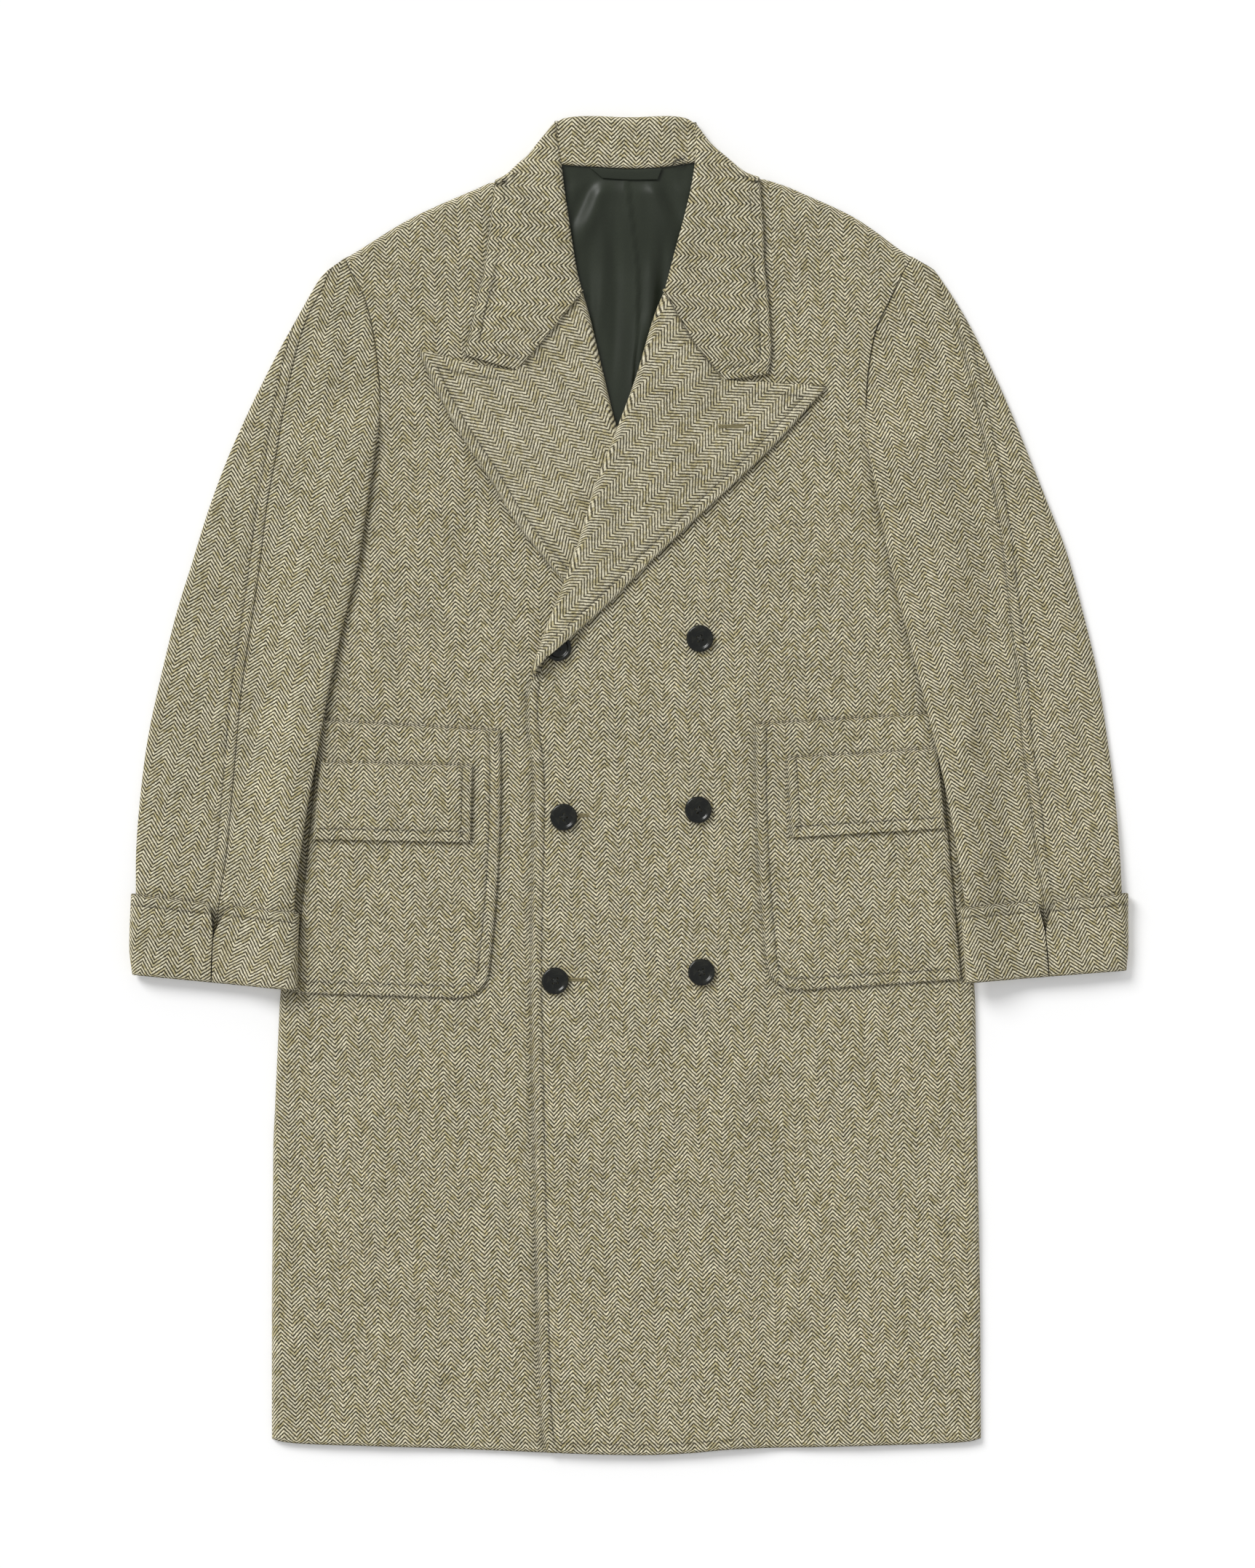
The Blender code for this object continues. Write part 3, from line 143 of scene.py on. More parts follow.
LEFT = SimpleNamespace(
    left=True, name="left", side=1.0,
    roll=[(-90.5, 104), (-75.4, 147.4), (-64, 176), (-45.5, 227), (-29.5, 281), (-10.5, 330), (6, 375),
          (22, 429), (31.8, 453.6)],
    lapel_edge=[(-81.5, 112.5), (-54.6, 134.7), (-16.4, 168.8), (23.8, 209), (77.4, 259.3), (132.3, 311),
                (181.9, 366)],
    gorge=[(31.8, 453.6), (60, 407), (88.8, 373.4)],
    lapel_top=[(88.8, 373.4), (135, 371.3), (181.9, 367.8)],
    neck_edge=[(33.7, 459.6), (43.2, 496), (50.5, 523), (56.8, 549.5), (60.6, 573), (62, 588), (61.6, 598),
               (60.4, 605.5), (60, 610.3)],
    leaf_edge=[(128.6, 379.2), (131.6, 400), (129.6, 441), (125.6, 479), (124.3, 510), (122.5, 538),
               (120.5, 561)],
    leaf_fold=[(60.2, 611.9), (65.3, 605.7), (70.7, 598.3), (77.4, 590.3), (90.8, 578.9), (100.8, 570.2),
               (109.5, 564.4), (120.5, 561)],
    shoulder=[(92, 556), (110, 557), (122, 559.4), (133, 556.6), (146, 552.2), (157.8, 547.2), (210, 522.6),
              (261.5, 489.5)],
    lining=[(-6, 312), (24, 375), (50, 455), (66, 523), (77, 575)],
    sleeve=[(279, 477, 261, 487.6, 0.3), (284, 472, 252, 472.5, 0.18), (304, 442, 240, 447.5, 0.12),
            (321, 411, 227, 419, 0.165), (340, 372, 220.3, 382, 0.212), (354, 340, 218.2, 350.5, 0.236),
            (367, 308, 219.5, 318.5, 0.26), (385.5, 261.5, 229, 264, 0.303),
            (403, 216.5, 241.5, 201, 0.357), (417, 165.5, 255, 146, 0.405), (431, 107, 269.5, 88.5, 0.452),
            (440, 50.5, 283, 33.5, 0.496), (448, -10.5, 295, -21.5, 0.509), (452, -57, 302.5, -67, 0.516),
            (454, -95, 308.5, -104, 0.5), (454.5, -131, 311, -141, 0.5), (453.5, -166, 313.6, -177, 0.5)],
    cuff=[(460, -99, 304.6, -112, 0.4, 0.56), (460, -105, 305.2, -118, 0.455, 0.535),
          (460, -116, 306.2, -128, 0.478, 0.52), (460, -129, 307.2, -141, 0.499, 0.504),
          (460.2, -148, 308.4, -161, 0.492, 0.496), (458.4, -171, 310, -182.5, 0.48, 0.484)],
    pocket=dict(top_in=(116, 57.3), top_out=(284, 67.6), low_in=(128.5, -189),
                low_out=(306.5, -179.3), corner=26, bow=4),
    flap=dict(top_in=(144.2, 26.2), top_out=(284, 34.9), low_in=(149, -47.8),
              low_out=(292, -39.2), corner=2.5, bow=0))

# The first of a sleeve's inner ends are the armhole seam
ARMHOLE_ROWS = 7
SLEEVE_HIDDEN_SEAM = 0.34

# The leaf behind the neck, and the stand inside it
LEAF_BACK_TOP = 610.6
LEAF_BACK_EDGE = [(-123.5, 558), (-60, 546), (0, 543), (60, 545), (120.5, 561)]
BACK_NECK_EDGE = [(-84, 551), (-60, 575), (0, 577), (58, 575), (88, 549)]
STAND_LOWER_EDGE = [(-68, 572.2), (-60.8, 571.7), (-30, 569.6), (1, 568.2), (30, 569.4), (60, 573.8),
                    (67, 575)]
STAND_TOP_EDGE = [(-70.5, 606), (-65.4, 612.6), (-58.5, 615.6), (-46, 617), (-30, 617.2), (0, 616.2),
                  (30, 617.2), (42, 617), (52.5, 615.3), (59.6, 611.2), (65, 604.5)]

# Button centres: the one beside the break lies half under the lapel
BUTTONS = [("1", 65.3, 135.3), ("2", -65.3, 126.6), ("3", 63.7, -22.4), ("4", -60, -29.1),
           ("5", 66.7, -172.2), ("6", -68, -179.9)]

# Neck tab, and the lining's centre-back pleat
NECK_TAB_TOP = [(-35.8, 569.3), (0, 567.7), (30.5, 568.8)]
NECK_TAB_LOW = [(-24.5, 559.5), (0, 558), (26.5, 558.1)]
PLEAT_ROWS = [(-1.7, 557.4), (3, 520), (8.4, 472), (8, 424), (3.5, 374), (2, 312)]

# Direction of the herringbone's columns, in degrees to the left of the coat's length
GRAIN = {"body": 1.5, "sleeve_right": -13, "sleeve_left": 13.7, "lapel_right": 31.5, "lapel_left": -47,
         "leaf": 88.8, "cuff_right_outer": -13, "cuff_right_inner": -18, "cuff_left_outer": 13.8,
         "cuff_left_inner": 17}
COLLAR_SCALE = 0.93


def clip01(x):
    return np.clip(x, 0.0, 1.0)


def step(x):
    """A smooth step from 0 to 1 as x runs from 0 to 1."""
    x = clip01(x)
    return x * x * (3.0 - 2.0 * x)


def curve(points, per_span=24):
    """A smooth dense line through the named points."""
    p = np.array(points, float)
    if len(p) == 2:
        t = np.linspace(0.0, 1.0, per_span + 1)[:, None]
        return p[0] * (1 - t) + p[1] * t
    ext = np.vstack([2 * p[0] - p[1], p, 2 * p[-1] - p[-2]])
    t = np.linspace(0.0, 1.0, per_span, endpoint=False)[:, None]
    out = []
    for i in range(1, len(ext) - 2):
        a, b, c, d = ext[i - 1:i + 3]
        out.append(0.5 * (2 * b + (c - a) * t + (2 * a - 5 * b + 4 * c - d) * t * t
                          + (3 * b - a - 3 * c + d) * t ** 3))
    out.append(p[-1:])
    return np.vstack(out)


class Line:
    """A line in plan that is read by shares of its length."""

    def __init__(self, points, smooth=True):
        self.points = curve(points) if smooth else np.array(points, float)
        steps = np.hypot(*np.diff(self.points[:, :2], axis=0).T)
        run = np.concatenate([[0.0], np.cumsum(steps)])
        self.length = run[-1]
        self.run = run / run[-1]

    def at(self, share):
        share = np.asarray(share, float)
        return np.stack([np.interp(share, self.run, self.points[:, k])
                         for k in range(self.points.shape[1])], axis=-1)


def pushed(line, distance):
    """A line moved sideways to its left by a distance."""
    along = np.gradient(line, axis=0)
    along /= np.maximum(np.hypot(*along.T), 1e-9)[:, None]
    return line + distance * np.column_stack([-along[:, 1], along[:, 0]])


def coons(low, high, first, last, u, v):
    """Plan points between four lines: first and last run from low to high, low and high across."""
    u3, v3 = u[..., None], v[..., None]
    corners = ((1 - u3) * (1 - v3) * low.at(0.0) + u3 * (1 - v3) * low.at(1.0)
               + (1 - u3) * v3 * high.at(0.0) + u3 * v3 * high.at(1.0))
    return ((1 - v3) * low.at(u) + v3 * high.at(u) + (1 - u3) * first.at(v) + u3 * last.at(v) - corners)


def shares(width, start, end, spacing, count=None):
    """Places across a width: at the given distances from both ends, and even between them."""
    start, end = np.array(start, float), np.array(end, float)
    room = start[-1] + end[-1]
    scale = min(1.0, 0.8 * width / room) if room > 0 else 1.0
    start, end = start * scale, end * scale
    if count is None:
        count = max(2, int(round((width - start[-1] - end[-1]) / spacing)))
    middle = np.linspace(start[-1], width - end[-1], count + 1)[1:-1]
    return np.concatenate([start, middle, width - end[::-1]]) / width


def distance_to(line, x, y):
    """Distance to an open line."""
    x, y = np.asarray(x, float), np.asarray(y, float)
    near = np.full(x.shape, 1e9)
    for (ax, ay), (bx, by) in zip(line[:-1], line[1:]):
        ex, ey = bx - ax, by - ay
        t = clip01(((x - ax) * ex + (y - ay) * ey) / max(ex * ex + ey * ey, 1e-9))
        near = np.minimum(near, np.hypot(x - ax - t * ex, y - ay - t * ey))
    return near


def distance_outside(outline, x, y):
    """Signed distance to a closed outline, negative inside."""
    closed = np.vstack([outline, outline[:1]])
    inside = np.zeros(np.shape(x), bool)
    for (ax, ay), (bx, by) in zip(closed[:-1], closed[1:]):
        if ay != by:
            inside ^= ((ay > y) != (by > y)) & (x < ax + (y - ay) * (bx - ax) / (by - ay))
    near = distance_to(closed, x, y)
    return np.where(inside, -near, near)


def over(polygon, x, y, margin=12.0, fall=30.0):
    """1 over an outline and its margin, falling smoothly to 0 beyond it."""
    return 1.0 - step((distance_outside(polygon, x, y) - margin) / fall)


LEAF_BACK_OUTLINE = np.vstack([curve(LEAF_BACK_EDGE, 6), curve(LEFT.leaf_fold, 4)[::-1],
                               curve(RIGHT.leaf_fold, 4)])
LINING_OUTLINE = np.vstack([curve(RIGHT.lining, 4), curve(LEFT.lining, 4)[::-1]])
UNDER_FRONT_OUTLINE = np.vstack([[(-340.0, -620.0), (UNDER_EDGE_X, -620.0)], curve(RIGHT.roll, 4),
                                 curve(RIGHT.neck_edge, 4), [(-340.0, 600.0)]])
UNDER_LAPEL_OUTLINE = np.vstack([curve(RIGHT.lapel_edge, 4), curve(RIGHT.lapel_top[::-1], 4),
                                 curve(RIGHT.gorge[::-1], 4), curve(RIGHT.roll[::-1], 4)])


def back_underside(x, y):
    """The back lies on the surface and rides over the leaf of the collar behind the neck."""
    return (COLLAR_WALL + GAP) * over(LEAF_BACK_OUTLINE, x, y, 14.0, 60.0)


def back_top(x, y):
    return back_underside(x, y) + BACK_WALL


def lining_top(x, y):
    return back_top(x, y) + GAP + LINING_WALL


def front_loft(x, y):
    """The fronts stand off the back toward the sides."""
    return FRONT_LOFT * step((np.abs(x) - 110.0) / 120.0)


def front_underside(x, y, upper):
    z = back_top(x, y) + 2.0 * GAP + (LINING_WALL + 2.0 * GAP) * over(LINING_OUTLINE, x, y, 20.0, 40.0)
    z = z + front_loft(x, y)
    if upper:
        z = z + (FRONT_WALL + GAP) * over(UNDER_FRONT_OUTLINE, x, y, 14.0, 46.0)
        z = z + (LAPEL_WALL + ROLL_LOFT + 6.0 * GAP) * over(UNDER_LAPEL_OUTLINE, x, y, 50.0, 80.0)
    return z


def front_top(x, y, upper):
    return front_underside(x, y, upper) + FRONT_WALL


def side_x(y, own):
    """The side of the body at a height, also where a sleeve hides it."""
    rows = np.array(SIDE_ROWS)
    return np.interp(y, rows[:, 0], rows[:, 2 if own.left else 1])


def sleeve_rest(x, y, own):
    """What the sleeve and its cuff lie on: the surface, the side of the body and the pocket there."""
    beyond = own.side * (x - side_x(np.minimum(y, 262.0), own))
    cover = 1.0 - step(beyond / 48.0)
    rise = step((362.0 - y) / 42.0)
    body = BACK_WALL + 2.0 * GAP + FRONT_LOFT + FRONT_WALL + 2.0 * GAP
    flap = POCKET_WALL + FLAP_WALL + 2 * GAP
    pocket = np.interp(y, [-107.0, -67.0, 33.0, 88.0, 146.0],
                       [POCKET_WALL + 2 * GAP, flap, flap, POCKET_WALL + 2 * GAP, 0.0])
    return (body * rise + pocket) * cover


# Slow unevenness of laid cloth: wave length across and along, phase, height
RIPPLES = [(210, 330, 0.4, 0.3), (134, -260, 2.1, 0.26), (-96, 171, 4.4, 0.2), (71, 118, 1.3, 0.13),
           (47, -88, 5.2, 0.09), (-310, 96, 3.1, 0.16)]


def ripple(x, y, shift=0.0):
    z = 0.0
    for wave_x, wave_y, phase, height in RIPPLES:
        z = z + height * np.sin(2 * math.pi * (x / wave_x + y / wave_y) + phase + shift)
    return z


# Soft folds in the fronts and sleeves: from x, y, to x, y, half width, height (troughs below 0)
FRONT_FOLDS = [(150, -210, 55, -390, 17, 0.9), (118, -205, 22, -392, 15, -0.7),
               (205, -395, 215, -590, 26, 0.7), (-240, -240, -262, -560, 30, 0.8),
               (-148, -420, -170, -600, 24, -0.6), (170, 150, 205, 330, 16, 0.8),
               (196, 120, 240, 290, 12, -1), (-185, 130, -205, 330, 16, 0.7),
               (-150, 480, -170, 400, 14, -0.7), (155, 470, 168, 380, 14, -0.6),
               (110, -420, 128, -600, 14, -0.5), (-60, -250, -74, -560, 9, 0.5),
               (-118, -230, -100, -580, 13, 0.5)]
SLEEVE_FOLDS = [(-285, 436, -307, 306, 7, -1.1), (-268, 440, -286, 300, 9, 0.9),
                (-256, 300, -300, 90, 10, 0.9), (-300, 240, -345, 20, 9, -0.9),
                (-340, 1, -333, -104, 4, -1.6), (-327, -20, -320, -108, 5, 1.3),
                (-352, -30, -347, -108, 5, 0.9), (-395, 180, -420, -60, 11, 0.7),
                (-380, 60, -392, -80, 7, -0.7), (278, 440, 300, 300, 9, -0.8), (262, 430, 272, 310, 8, 0.7),
                (262, 300, 302, 80, 11, 0.8), (296, 220, 338, 10, 8, -0.9),
                (347, -40, 342, -106, 4.5, -1.5), (330, -30, 326, -106, 5, 1.2),
                (362, -20, 358, -106, 6, 0.9), (400, 170, 424, -60, 11, 0.7), (388, 40, 398, -80, 7, -0.7)]


def folds(rows, x, y):
    """Soft ridges and troughs, each tapering to nothing at its ends."""
    z = 0.0
    for x1, y1, x2, y2, half_width, height in rows:
        ex, ey = x2 - x1, y2 - y1
        length = math.hypot(ex, ey)
        along = ((x - x1) * ex + (y - y1) * ey) / length ** 2
        across = ((x - x1) * ey - (y - y1) * ex) / length
        bend = 0.12 * length * (clip01(along) - 0.5) ** 2
        taper = step(along / 0.35) * step((1.0 - along) / 0.35)
        z = z + height * np.exp(-((across - bend) / half_width) ** 2) * taper
    return z


# Materials

class Material:
    """A material whose nodes are put in one by one."""

    def __init__(self, name):
        self.mat = bpy.data.materials.new(name)
        self.mat.use_nodes = True
        self.tree = self.mat.node_tree
        self.shader = self.tree.nodes["Principled BSDF"]

    def give(self, node, inputs):
        """Set a node's inputs to values or links."""
        for key, value in dict(inputs).items():
            if isinstance(value, bpy.types.NodeSocket):
                self.tree.links.new(value, node.inputs[key])
            else:
                node.inputs[key].default_value = value

    def put(self, kind, inputs=(), output=0, **settings):
        """Add a node with its settings and inputs, and return one of its outputs."""
        node = self.tree.nodes.new(kind)
        for key, value in settings.items():
            setattr(node, key, value)
        self.give(node, inputs)
        return node.outputs[output]

    def calc(self, operation, *numbers):
        return self.put("ShaderNodeMath", enumerate(numbers), operation=operation)

    def times(self, *numbers):
        return self.calc("MULTIPLY", *numbers)

    def vector(self, operation, inputs):
        return self.put("ShaderNodeVectorMath", inputs, operation=operation)

    def scaled(self, vector, scale):
        return self.vector("SCALE", {0: vector, "Scale": scale})

    def uv(self, name):
        return self.put("ShaderNodeUVMap", uv_map=name)

    def parts(self, vector):
        return self.put("ShaderNodeSeparateXYZ", {0: vector}).node.outputs

    def mixed(self, share, a, b):
        return self.put("ShaderNodeMix", {0: share, 6: a, 7: b}, 2, data_type="RGBA")

    def ranged(self, value, low, high, to_low=0.0, to_high=1.0):
        return self.put("ShaderNodeMapRange", {0: value, 1: low, 2: high, 3: to_low, 4: to_high},
                        interpolation_type="SMOOTHSTEP")

    def noise(self, vector, scale, detail=2.0, roughness=0.5, output="Fac", distortion=0.0):
        inputs = {"Vector": vector, "Scale": scale, "Detail": detail, "Roughness": roughness,
                  "Distortion": distortion}
        return self.put("ShaderNodeTexNoise", inputs, output)

    def finish(self, colour, height, strength, distance, inputs):
        """Link colour and bump, and set what else the shader takes."""
        bump = self.put("ShaderNodeBump", {"Height": height, "Strength": strength, "Distance": distance})
        self.give(self.shader, {"Base Color": colour, "Normal": bump, **inputs})
        return self.mat


# Herringbone in millimetres of cloth: column width, run of a twill line down the cloth, and its slope
COLUMN_WIDTH, TWILL_RUN, TWILL_SLOPE = 11.1, 3.72, 1.04

CREAM = (0.765, 0.712, 0.530, 1.0)
KHAKI = (0.520, 0.455, 0.248, 1.0)
OLIVE = (0.112, 0.094, 0.050, 1.0)
INK = (0.026, 0.024, 0.015, 1.0)

# Strength of the painted shade that darkens cloth down in a groove, at the turn of an edge and beside other
# pieces
PAINTED_CREASE_SHADE = 0.58


def make_tweed(name, firm=1.0):
    """Herringbone: cream and khaki twill lines on dark olive ones, with slubs, fibres, a soft nap and
    painted shade from the crease map.
    """
    m = Material(name)
    cloth = m.scaled(m.uv("grain"), 1.0 / MM)
    slow = m.noise(cloth, 0.014, 2.0, output="Color")
    quick = m.noise(cloth, 0.33, 2.0, 0.6, output="Color")
    for source, size in ((slow, 5.0), (quick, 1.0)):
        centred = m.vector("SUBTRACT", {0: source, 1: (0.5, 0.5, 0.5)})
        cloth = m.vector("ADD", {0: cloth, 1: m.scaled(centred, size)})
    across, along = m.parts(cloth)[:2]
    slant = m.times(m.calc("PINGPONG", across, COLUMN_WIDTH), TWILL_SLOPE)
    line = m.calc("DIVIDE", m.calc("ADD", along, slant), TWILL_RUN)
    wave = m.calc("SINE", m.times(line, 2 * math.pi))
    which = m.calc("FLOOR", m.calc("ADD", line, 0.25))
    run = m.calc("SUBTRACT", along, slant)
    column = m.calc("FLOOR", m.calc("DIVIDE", across, COLUMN_WIDTH))

    def along_yarn(stretch, per_yarn, per_column, detail, roughness):
        """Noise that runs along the yarn and is new in each yarn and column."""
        place = {0: m.times(run, stretch), 1: m.times(which, per_yarn), 2: m.times(column, per_column)}
        return m.noise(m.put("ShaderNodeCombineXYZ", place), 1.0, detail, roughness)

    tint = along_yarn(0.085, 3.7, 5.3, 3.0, 0.7)
    slub = along_yarn(0.55, 1.9, 2.7, 2.0, 0.6)
    knot = along_yarn(0.36, 2.3, 3.1, 1.0, 0.5)
    fibre = m.noise(cloth, 1.5, 3.0, 0.7)
    patchy = m.noise(cloth, 0.035, 3.0, 0.6)
    uneven = m.calc("ADD", wave, m.calc("SUBTRACT", slub, 0.5))
    uneven = m.calc("ADD", uneven, m.calc("SUBTRACT", fibre, 0.5))
    light = m.mixed(m.ranged(tint, 0.42, 0.66), CREAM, KHAKI)
    dark = m.mixed(m.ranged(slub, 0.35, 0.65), INK, OLIVE)
    colour = m.mixed(m.ranged(uneven, -0.42 / firm, 0.32 / firm), dark, light)
    shade = m.times(m.ranged(fibre, 0.25, 0.75, 0.80, 1.18), m.ranged(patchy, 0.30, 0.70, 0.94, 1.06))
    shade = m.times(shade, m.ranged(knot, 0.25, 0.75, 0.80, 1.20))
    # painted shade: the crease map darkens the colour in grooves, at edges and beside other pieces
    crease = m.parts(m.uv("crease"))[0]
    shade = m.times(shade, m.calc("MULTIPLY_ADD", crease, -PAINTED_CREASE_SHADE, 1.0))
    height = m.calc("ADD", m.times(wave, 0.5), m.times(fibre, 0.9))
    return m.finish(m.scaled(colour, shade), height, 0.55, 0.00035, {
        "Roughness": 0.93, "Specular IOR Level": 0.18, "Sheen Weight": 0.16, "Sheen Roughness": 0.55,
        "Sheen Tint": (0.92, 0.87, 0.72, 1.0)})


def make_satin(name, colour):
    """Dark green satin: fine floats along the cloth and soft streaks."""
    m = Material(name)
    floats = m.noise(m.vector("MULTIPLY", {0: m.uv("grain"), 1: (2600.0, 420.0, 1.0)}), 1.0, 2.0, 0.6)
    streak = m.noise(m.vector("MULTIPLY", {0: m.uv("grain"), 1: (60.0, 14.0, 1.0)}), 1.0, 3.0, 0.55)
    shade = m.times(m.ranged(floats, 0.2, 0.8, 0.86, 1.14), m.ranged(streak, 0.25, 0.75, 0.88, 1.12))
    return m.finish(m.scaled(colour, shade), floats, 0.25, 0.00006, {
        "Roughness": 0.40, "Specular IOR Level": 0.28, "Sheen Weight": 0.05, "Sheen Roughness": 0.4,
        "Sheen Tint": (0.70, 0.85, 0.75, 1.0)})


def make_button(name):
    """Polished horn-like resin, near-black green with faint clouds."""
    m = Material(name)
    where = m.put("ShaderNodeTexCoord", output="Object")
    cloud = m.noise(where, 130.0, 4.0, 0.6, distortion=1.2)
    colour = m.mixed(m.ranged(cloud, 0.42, 0.68), (0.004, 0.005, 0.004, 1.0), (0.016, 0.017, 0.012, 1.0))
    return m.finish(colour, m.noise(where, 900.0), 0.08, 0.0002, {
        "Roughness": 0.22, "Specular IOR Level": 0.30, "Coat Weight": 0.22, "Coat Roughness": 0.08})


def make_thread(name, colour):
    """Twisted sewing thread, a quarter darker and lighter along its twist."""
    m = Material(name)
    twist = m.noise(m.put("ShaderNodeTexCoord", output="Object"), 1400.0)
    dark, light = (tuple(c * (1.0 + turn) for c in colour) + (1.0,) for turn in (-0.25, 0.25))
    return m.finish(m.mixed(twist, dark, light), twist, 0.4, 0.0001, {"Roughness": 0.7, "Sheen Weight": 0.2})


# Cloth shells

# Upper surfaces of the finished pieces, and their objects with the grids they were made from
TOPS = {}
PIECES = {}


def unit(v):
    return v / np.maximum(np.linalg.norm(v, axis=-1, keepdims=True), 1e-9)


def grain_of(plan, angle, scale=1.0):
    """Cloth coordinates of plan points: across the herringbone's columns and along them."""
    a = math.radians(angle)
    x, y = plan[..., 0], plan[..., 1]
    across = (x * math.cos(a) + y * math.sin(a)) * scale
    return np.stack([across, -x * math.sin(a) + y * math.cos(a)], axis=-1)


def unrolled(grid, start, stop):
    """Plan of a grid whose columns outside start and stop turn down: they are laid out flat."""
    plan = grid[..., :2].copy()
    for begin, end, way in ((start, -1, -1), (stop, grid.shape[1], 1)):
        if way < 0 and begin <= 0 or way > 0 and begin >= grid.shape[1] - 1:
            continue
        toward = unit(plan[:, begin] - plan[:, begin - way])
        for j in range(begin + way, end, way):
            run = np.linalg.norm(grid[:, j] - grid[:, j - way], axis=1)
            plan[:, j] = plan[:, j - way] + toward * run[:, None]
    return plan


def make_mesh(name, verts, faces):
    """A mesh from vertices in millimetres."""
    mesh = bpy.data.meshes.new(name)
    mesh.from_pydata((np.asarray(verts, float) * MM).tolist(), [], faces)
    return mesh


def place(name, mesh, material=None):
    """A linked object with a mesh and its material."""
    if material:
        mesh.materials.append(material)
    ob = bpy.data.objects.new(name, mesh)
    bpy.context.collection.objects.link(ob)
    return ob


def face_outward(mesh):
    bm = bmesh.new()
    bm.from_mesh(mesh)
    bmesh.ops.recalc_face_normals(bm, faces=bm.faces)
    bm.to_mesh(mesh)
    bm.free()


def shell(name, outer, wall, uv, material, up=None, edges=(FOLDED,) * 4, crease=None):
    """A closed shell of cloth under a grid of outer points, its edges rounded by the amounts given for
    its first row, last row, first column and last column. Its painted shade is given per grid point, 1 where
    cloth lies in a groove; the shell adds painted shade at its rounded rims and paints its hidden inside
    fully shaded."""
    rows, cols = outer.shape[:2]
    normal = unit(np.cross(np.gradient(outer, axis=1), np.gradient(outer, axis=0)))
    i, j = up if up else (rows // 2, cols // 2)
    if normal[i, j, 2] < 0:
        normal = -normal
    border = ([(0, j) for j in range(cols)] + [(i, cols - 1) for i in range(1, rows)]
              + [(rows - 1, j) for j in range(cols - 2, -1, -1)] + [(i, 0) for i in range(rows - 2, 0, -1)])
    out = np.zeros((len(border), 3))
    bulge = np.zeros(len(border))
    for k, (i, j) in enumerate(border):
        beside = ((i == 0, (1, j)), (i == rows - 1, (rows - 2, j)), (j == 0, (i, 1)),
                  (j == cols - 1, (i, cols - 2)))
        sides = [(outer[i, j] - outer[near], edge) for (there, near), edge in zip(beside, edges) if there]
        vector = sum(unit(s[0]) for s in sides)
        n = normal[i, j]
        out[k] = unit(vector - n * vector.dot(n))
        bulge[k] = min(max(s[1] for s in sides), 0.6 * min(np.linalg.norm(s[0]) for s in sides))
    at = tuple(np.array(border).T)
    top = outer.copy()
    top[at] -= out * bulge[:, None]
    inner = top - normal * wall
    crease = np.zeros((rows, cols)) if crease is None else clip01(crease)
    # painted shade at the rounded rims, darker the more an edge rounds
    painted_rim_shade = clip01(bulge / FOLDED)
    crease[at] = np.maximum(crease[at], 0.3 * painted_rim_shade)
    inside = uv[np.clip(at[0], 1, rows - 2), np.clip(at[1], 1, cols - 2)]
    uv_out = unit(uv[at] - inside)
    verts, coords, painted_shades = [top.reshape(-1, 3)], [uv.reshape(-1, 2)], [crease.reshape(-1)]
    middle = np.full(len(border), wall / 2)
    for wide, depth, shade in ((0.71, 0.3 * bulge, 0.8), (1.0, middle, 1.0),
                               (0.71, wall - 0.3 * bulge, 1.0)):
        verts.append(top[at] + out * (bulge * wide)[:, None] - normal[at] * depth[:, None])
        coords.append(uv[at] + uv_out * (depth + bulge * wide)[:, None])
        painted_shades.append(painted_rim_shade * shade)
    verts = np.vstack(verts + [inner.reshape(-1, 3)])
    verts[:, 2] = np.maximum(verts[:, 2], 0.0)
    coords = np.vstack(coords + [uv.reshape(-1, 2)])
    # the hidden inside of the shell is painted in full shade
    painted_shades = np.concatenate(painted_shades + [np.ones(rows * cols)])
    count, ring = rows * cols, len(border)
    base = count + 3 * ring
    index = np.arange(count).reshape(rows, cols)
    quads = np.stack([index[:-1, :-1], index[:-1, 1:], index[1:, 1:], index[1:, :-1]], axis=-1)
    quads = quads.reshape(-1, 4)
    loops = [index[at]] + [count + k * ring + np.arange(ring) for k in range(3)] + [base + index[at]]
    rim = [np.stack([b, a, np.roll(a, -1), np.roll(b, -1)], axis=-1) for a, b in zip(loops[:-1], loops[1:])]
    faces = np.vstack([quads, quads[:, ::-1] + base] + [r[:, ::-1] for r in rim])
    mesh = make_mesh(name, verts, faces.tolist())
    corner = np.zeros(len(mesh.loops), dtype=np.int32)
    mesh.loops.foreach_get("vertex_index", corner)
    for layer, data in (("grain", coords * MM), ("crease", np.column_stack([painted_shades, painted_shades]))):
        mesh.uv_layers.new(name=layer).data.foreach_set("uv", data[corner].astype(np.float32).ravel())
    face_outward(mesh)
    mesh.shade_smooth()
    ob = place(name, mesh, material)
    triangles = np.vstack([quads[:, [0, 1, 2]], quads[:, [0, 2, 3]]]).tolist()
    TOPS[name] = BVHTree.FromPolygons([tuple(p) for p in top.reshape(-1, 3)], triangles)
    PIECES[name] = (ob, outer, uv)
    return ob


def height_on(name, x, y, otherwise=0.0):
    """Height of a finished piece's upper surface at a place, seen from above."""
    hit = TOPS[name].ray_cast((x, y, 300.0), (0.0, 0.0, -1.0))[0]
    return otherwise if hit is None else hit.z


